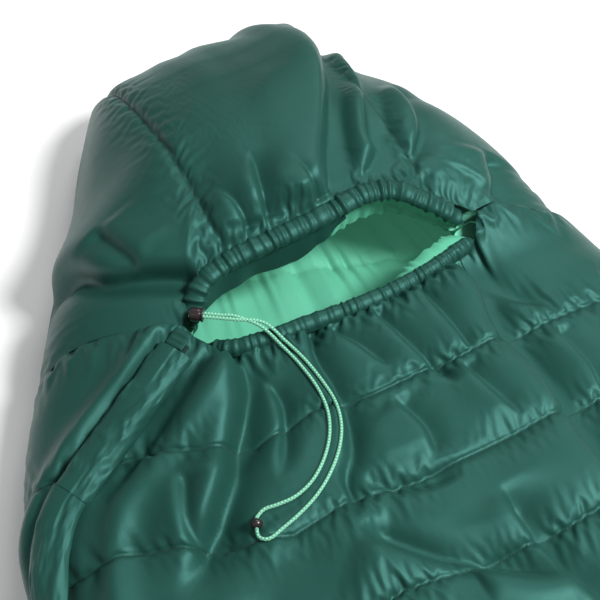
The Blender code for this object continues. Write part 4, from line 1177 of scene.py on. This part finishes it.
tab_centre = ZIP_START + ZIP_NORMAL * 0.0040
tab_a = np.linspace(-1, 1, 25)
tab_points = []
for along_share in tab_a:
    row = []
    for across_share in tab_a:
        edge = max(abs(along_share), abs(across_share))
        height = 0.0014 + 0.0010 * (1 - edge**6) + 0.0003 * math.sin(along_share * 9) * (1 - edge**4)
        height -= 0.0004 * math.exp(-((edge - 0.80) / 0.05)**2)
        corner = 1 - 0.06 * (along_share * across_share)**2
        row.append(tab_centre + ZIP_ALONG * (-0.0015 + 0.0115 * along_share * corner)
                   + ZIP_ACROSS * (0.012 * across_share * corner) + ZIP_NORMAL * height)
    tab_points.append(row)
tab_mesh = grid_mesh("zip_tab_cloth", np.array(tab_points))
tab = piece("zip_tab_cloth", tab_mesh, "zip_tab", hem_fabric, ["zip_top_tab"])
tab_wall = tab.modifiers.new("thickness", "SOLIDIFY")
tab_wall.thickness = 0.0014
tab_wall.offset = -1

tube_s = np.arange(0.60, 1.72, 0.01)
tube_x = SIDE_SHIFT - smooth(HALF_WIDTH, tube_s) + 0.080
tube_path = np.stack([tube_x, HEAD_Y - tube_s, 0.064 + 0 * tube_s], -1)
tube_radius = 0.0115 + 0.0006 * np.sin(tube_s * 90) + 0.0004 * np.sin(tube_s * 233)
draft_mesh = sweep("draft_tube_cloth", tube_path, tube_radius, 20)
draft = piece("draft_tube_cloth", draft_mesh, "bag", lining, ["zip_draft_tube"])

# ---------------------------------------------------------------- stitching


def stitched(name, lines, body, material, length=0.0026, gap=0.0012, width=0.00042):
    """Short threads laid end to end along lines of points, given with their surface normals."""
    verts, faces = [], []
    for path, normal in lines:
        walked = np.concatenate([[0], np.cumsum(np.linalg.norm(np.diff(path, axis=0), axis=1))])
        starts = np.arange(0, walked[-1] - length, length + gap)
        a = np.stack([np.interp(starts, walked, path[:, k]) for k in range(3)], -1)
        b = np.stack([np.interp(starts + length, walked, path[:, k]) for k in range(3)], -1)
        n = unit(np.stack([np.interp(starts, walked, normal[:, k]) for k in range(3)], -1))
        w = unit(np.cross(b - a, n)) * width
        middle = (a + b) / 2 + n * width * 1.1
        base = sum(len(v) for v in verts)
        block = np.stack([a - n * width, middle - (b - a) * 0.28 + w, middle - (b - a) * 0.28 - w,
                          middle + (b - a) * 0.28 + w, middle + (b - a) * 0.28 - w, b - n * width,
                          middle + n * width * 0.9], 1)
        verts.append(block.reshape(-1, 3))
        pattern = np.array([(0, 2, 1), (1, 2, 6), (1, 6, 3), (2, 4, 6), (3, 6, 4), (3, 4, 5)])
        index = base + np.arange(len(a))[:, None, None] * 7 + pattern[None]
        faces.append(index.reshape(-1, 3))
    mesh = bpy.data.meshes.new(name)
    mesh.from_pydata(np.vstack(verts).tolist(), [], np.vstack(faces).tolist())
    return piece(name, mesh, body, material)


front_shown_normal = normals_of(front_points)
quilt_rows = [i for i in range(1, len(front_t) - 1) if front_t[i] == 0]
quilt_lines = [(front_points[i] + front_shown_normal[i] * 0.0003, front_shown_normal[i]) for i in quilt_rows]
hood_shown_normal = normals_of(hood_points)
flat_points = hood_points.reshape(-1, 3)
flat_normals = hood_shown_normal.reshape(-1, 3)


def on_hood(path_points):
    """Places on the relaxed hood above a plan path."""
    path = curve_through(path_points, 0.004)
    places, normals = [], []
    for q in on_top(path[:, 0], path[:, 1]):
        weight = np.exp(-(np.linalg.norm(flat_points[:, :2] - q[:2], axis=1) / 0.0022)**2) + 1e-30
        places.append(np.sum(flat_points * weight[:, None], 0) / weight.sum())
        normals.append(np.sum(flat_normals * weight[:, None], 0) / weight.sum())
    normals = unit(np.array(normals))
    return np.array(places) + normals * 0.0002, normals


seam_lines = [on_hood(seam_path(seam, (0.12, 0.3, 0.5, 0.7, 0.86))) for seam in (LEFT_SEAM, RIGHT_SEAM)]
stitched("shell_stitching", quilt_lines + seam_lines, "bag", dark_thread)
stitch_rows = np.clip(np.searchsorted(lining_s[:, 0], lining_stitch[0]), 1, len(lining_s) - 2)
lining_line = lining_base[stitch_rows, np.arange(241)][20:-20] + [0, 0, 0.0006]
stitched("lining_stitching", [(lining_line, np.zeros_like(lining_line) + [0, 0, 1.0])], "bag", mint_thread)

# ---------------------------------------------------------------- finish

tape = thread("zip_tape_weave", (0.010, 0.042, 0.033))
coil_material, coil_nodes, coil_links, coil_shader = node_tree("zip_coil_teeth")
# Bands across the coil for its teeth, with painted shade: the colour darkens in the gaps between the teeth.
teeth = wave(coil_nodes, coil_links, 260, "DIAGONAL")
coil_painted_shade_tones = [(0.3, (0.004, 0.018, 0.014)), (0.6, (0.012, 0.05, 0.04))]
coil_links.new(ramp(coil_nodes, coil_links, teeth, coil_painted_shade_tones), coil_shader.inputs["Base Color"])
coil_links.new(bump(coil_nodes, coil_links, teeth, 0.0006), coil_shader.inputs["Normal"])
coil_shader.inputs["Roughness"].default_value = 0.4
slider_metal = plastic("slider_enamel", (0.02, 0.02, 0.02), 0.35)
slider_metal.node_tree.nodes["Principled BSDF"].inputs["Metallic"].default_value = 0.8
steel = plastic("spring_steel", (0.45, 0.45, 0.44), 0.25)
steel.node_tree.nodes["Principled BSDF"].inputs["Metallic"].default_value = 1.0
FINISHES = {"zip_tape_front": tape, "zip_tape_side": tape, "zip_coil_front": coil_material,
            "zip_coil_side": coil_material, "zip_slider": slider_metal, "zip_pull": slider_metal,
            "cord_lock_plunger": hardware, "cord_lock_spring": steel}
for name, finish in FINISHES.items():
    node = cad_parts[name]
    node.data.materials.clear()
    node.data.materials.append(finish)
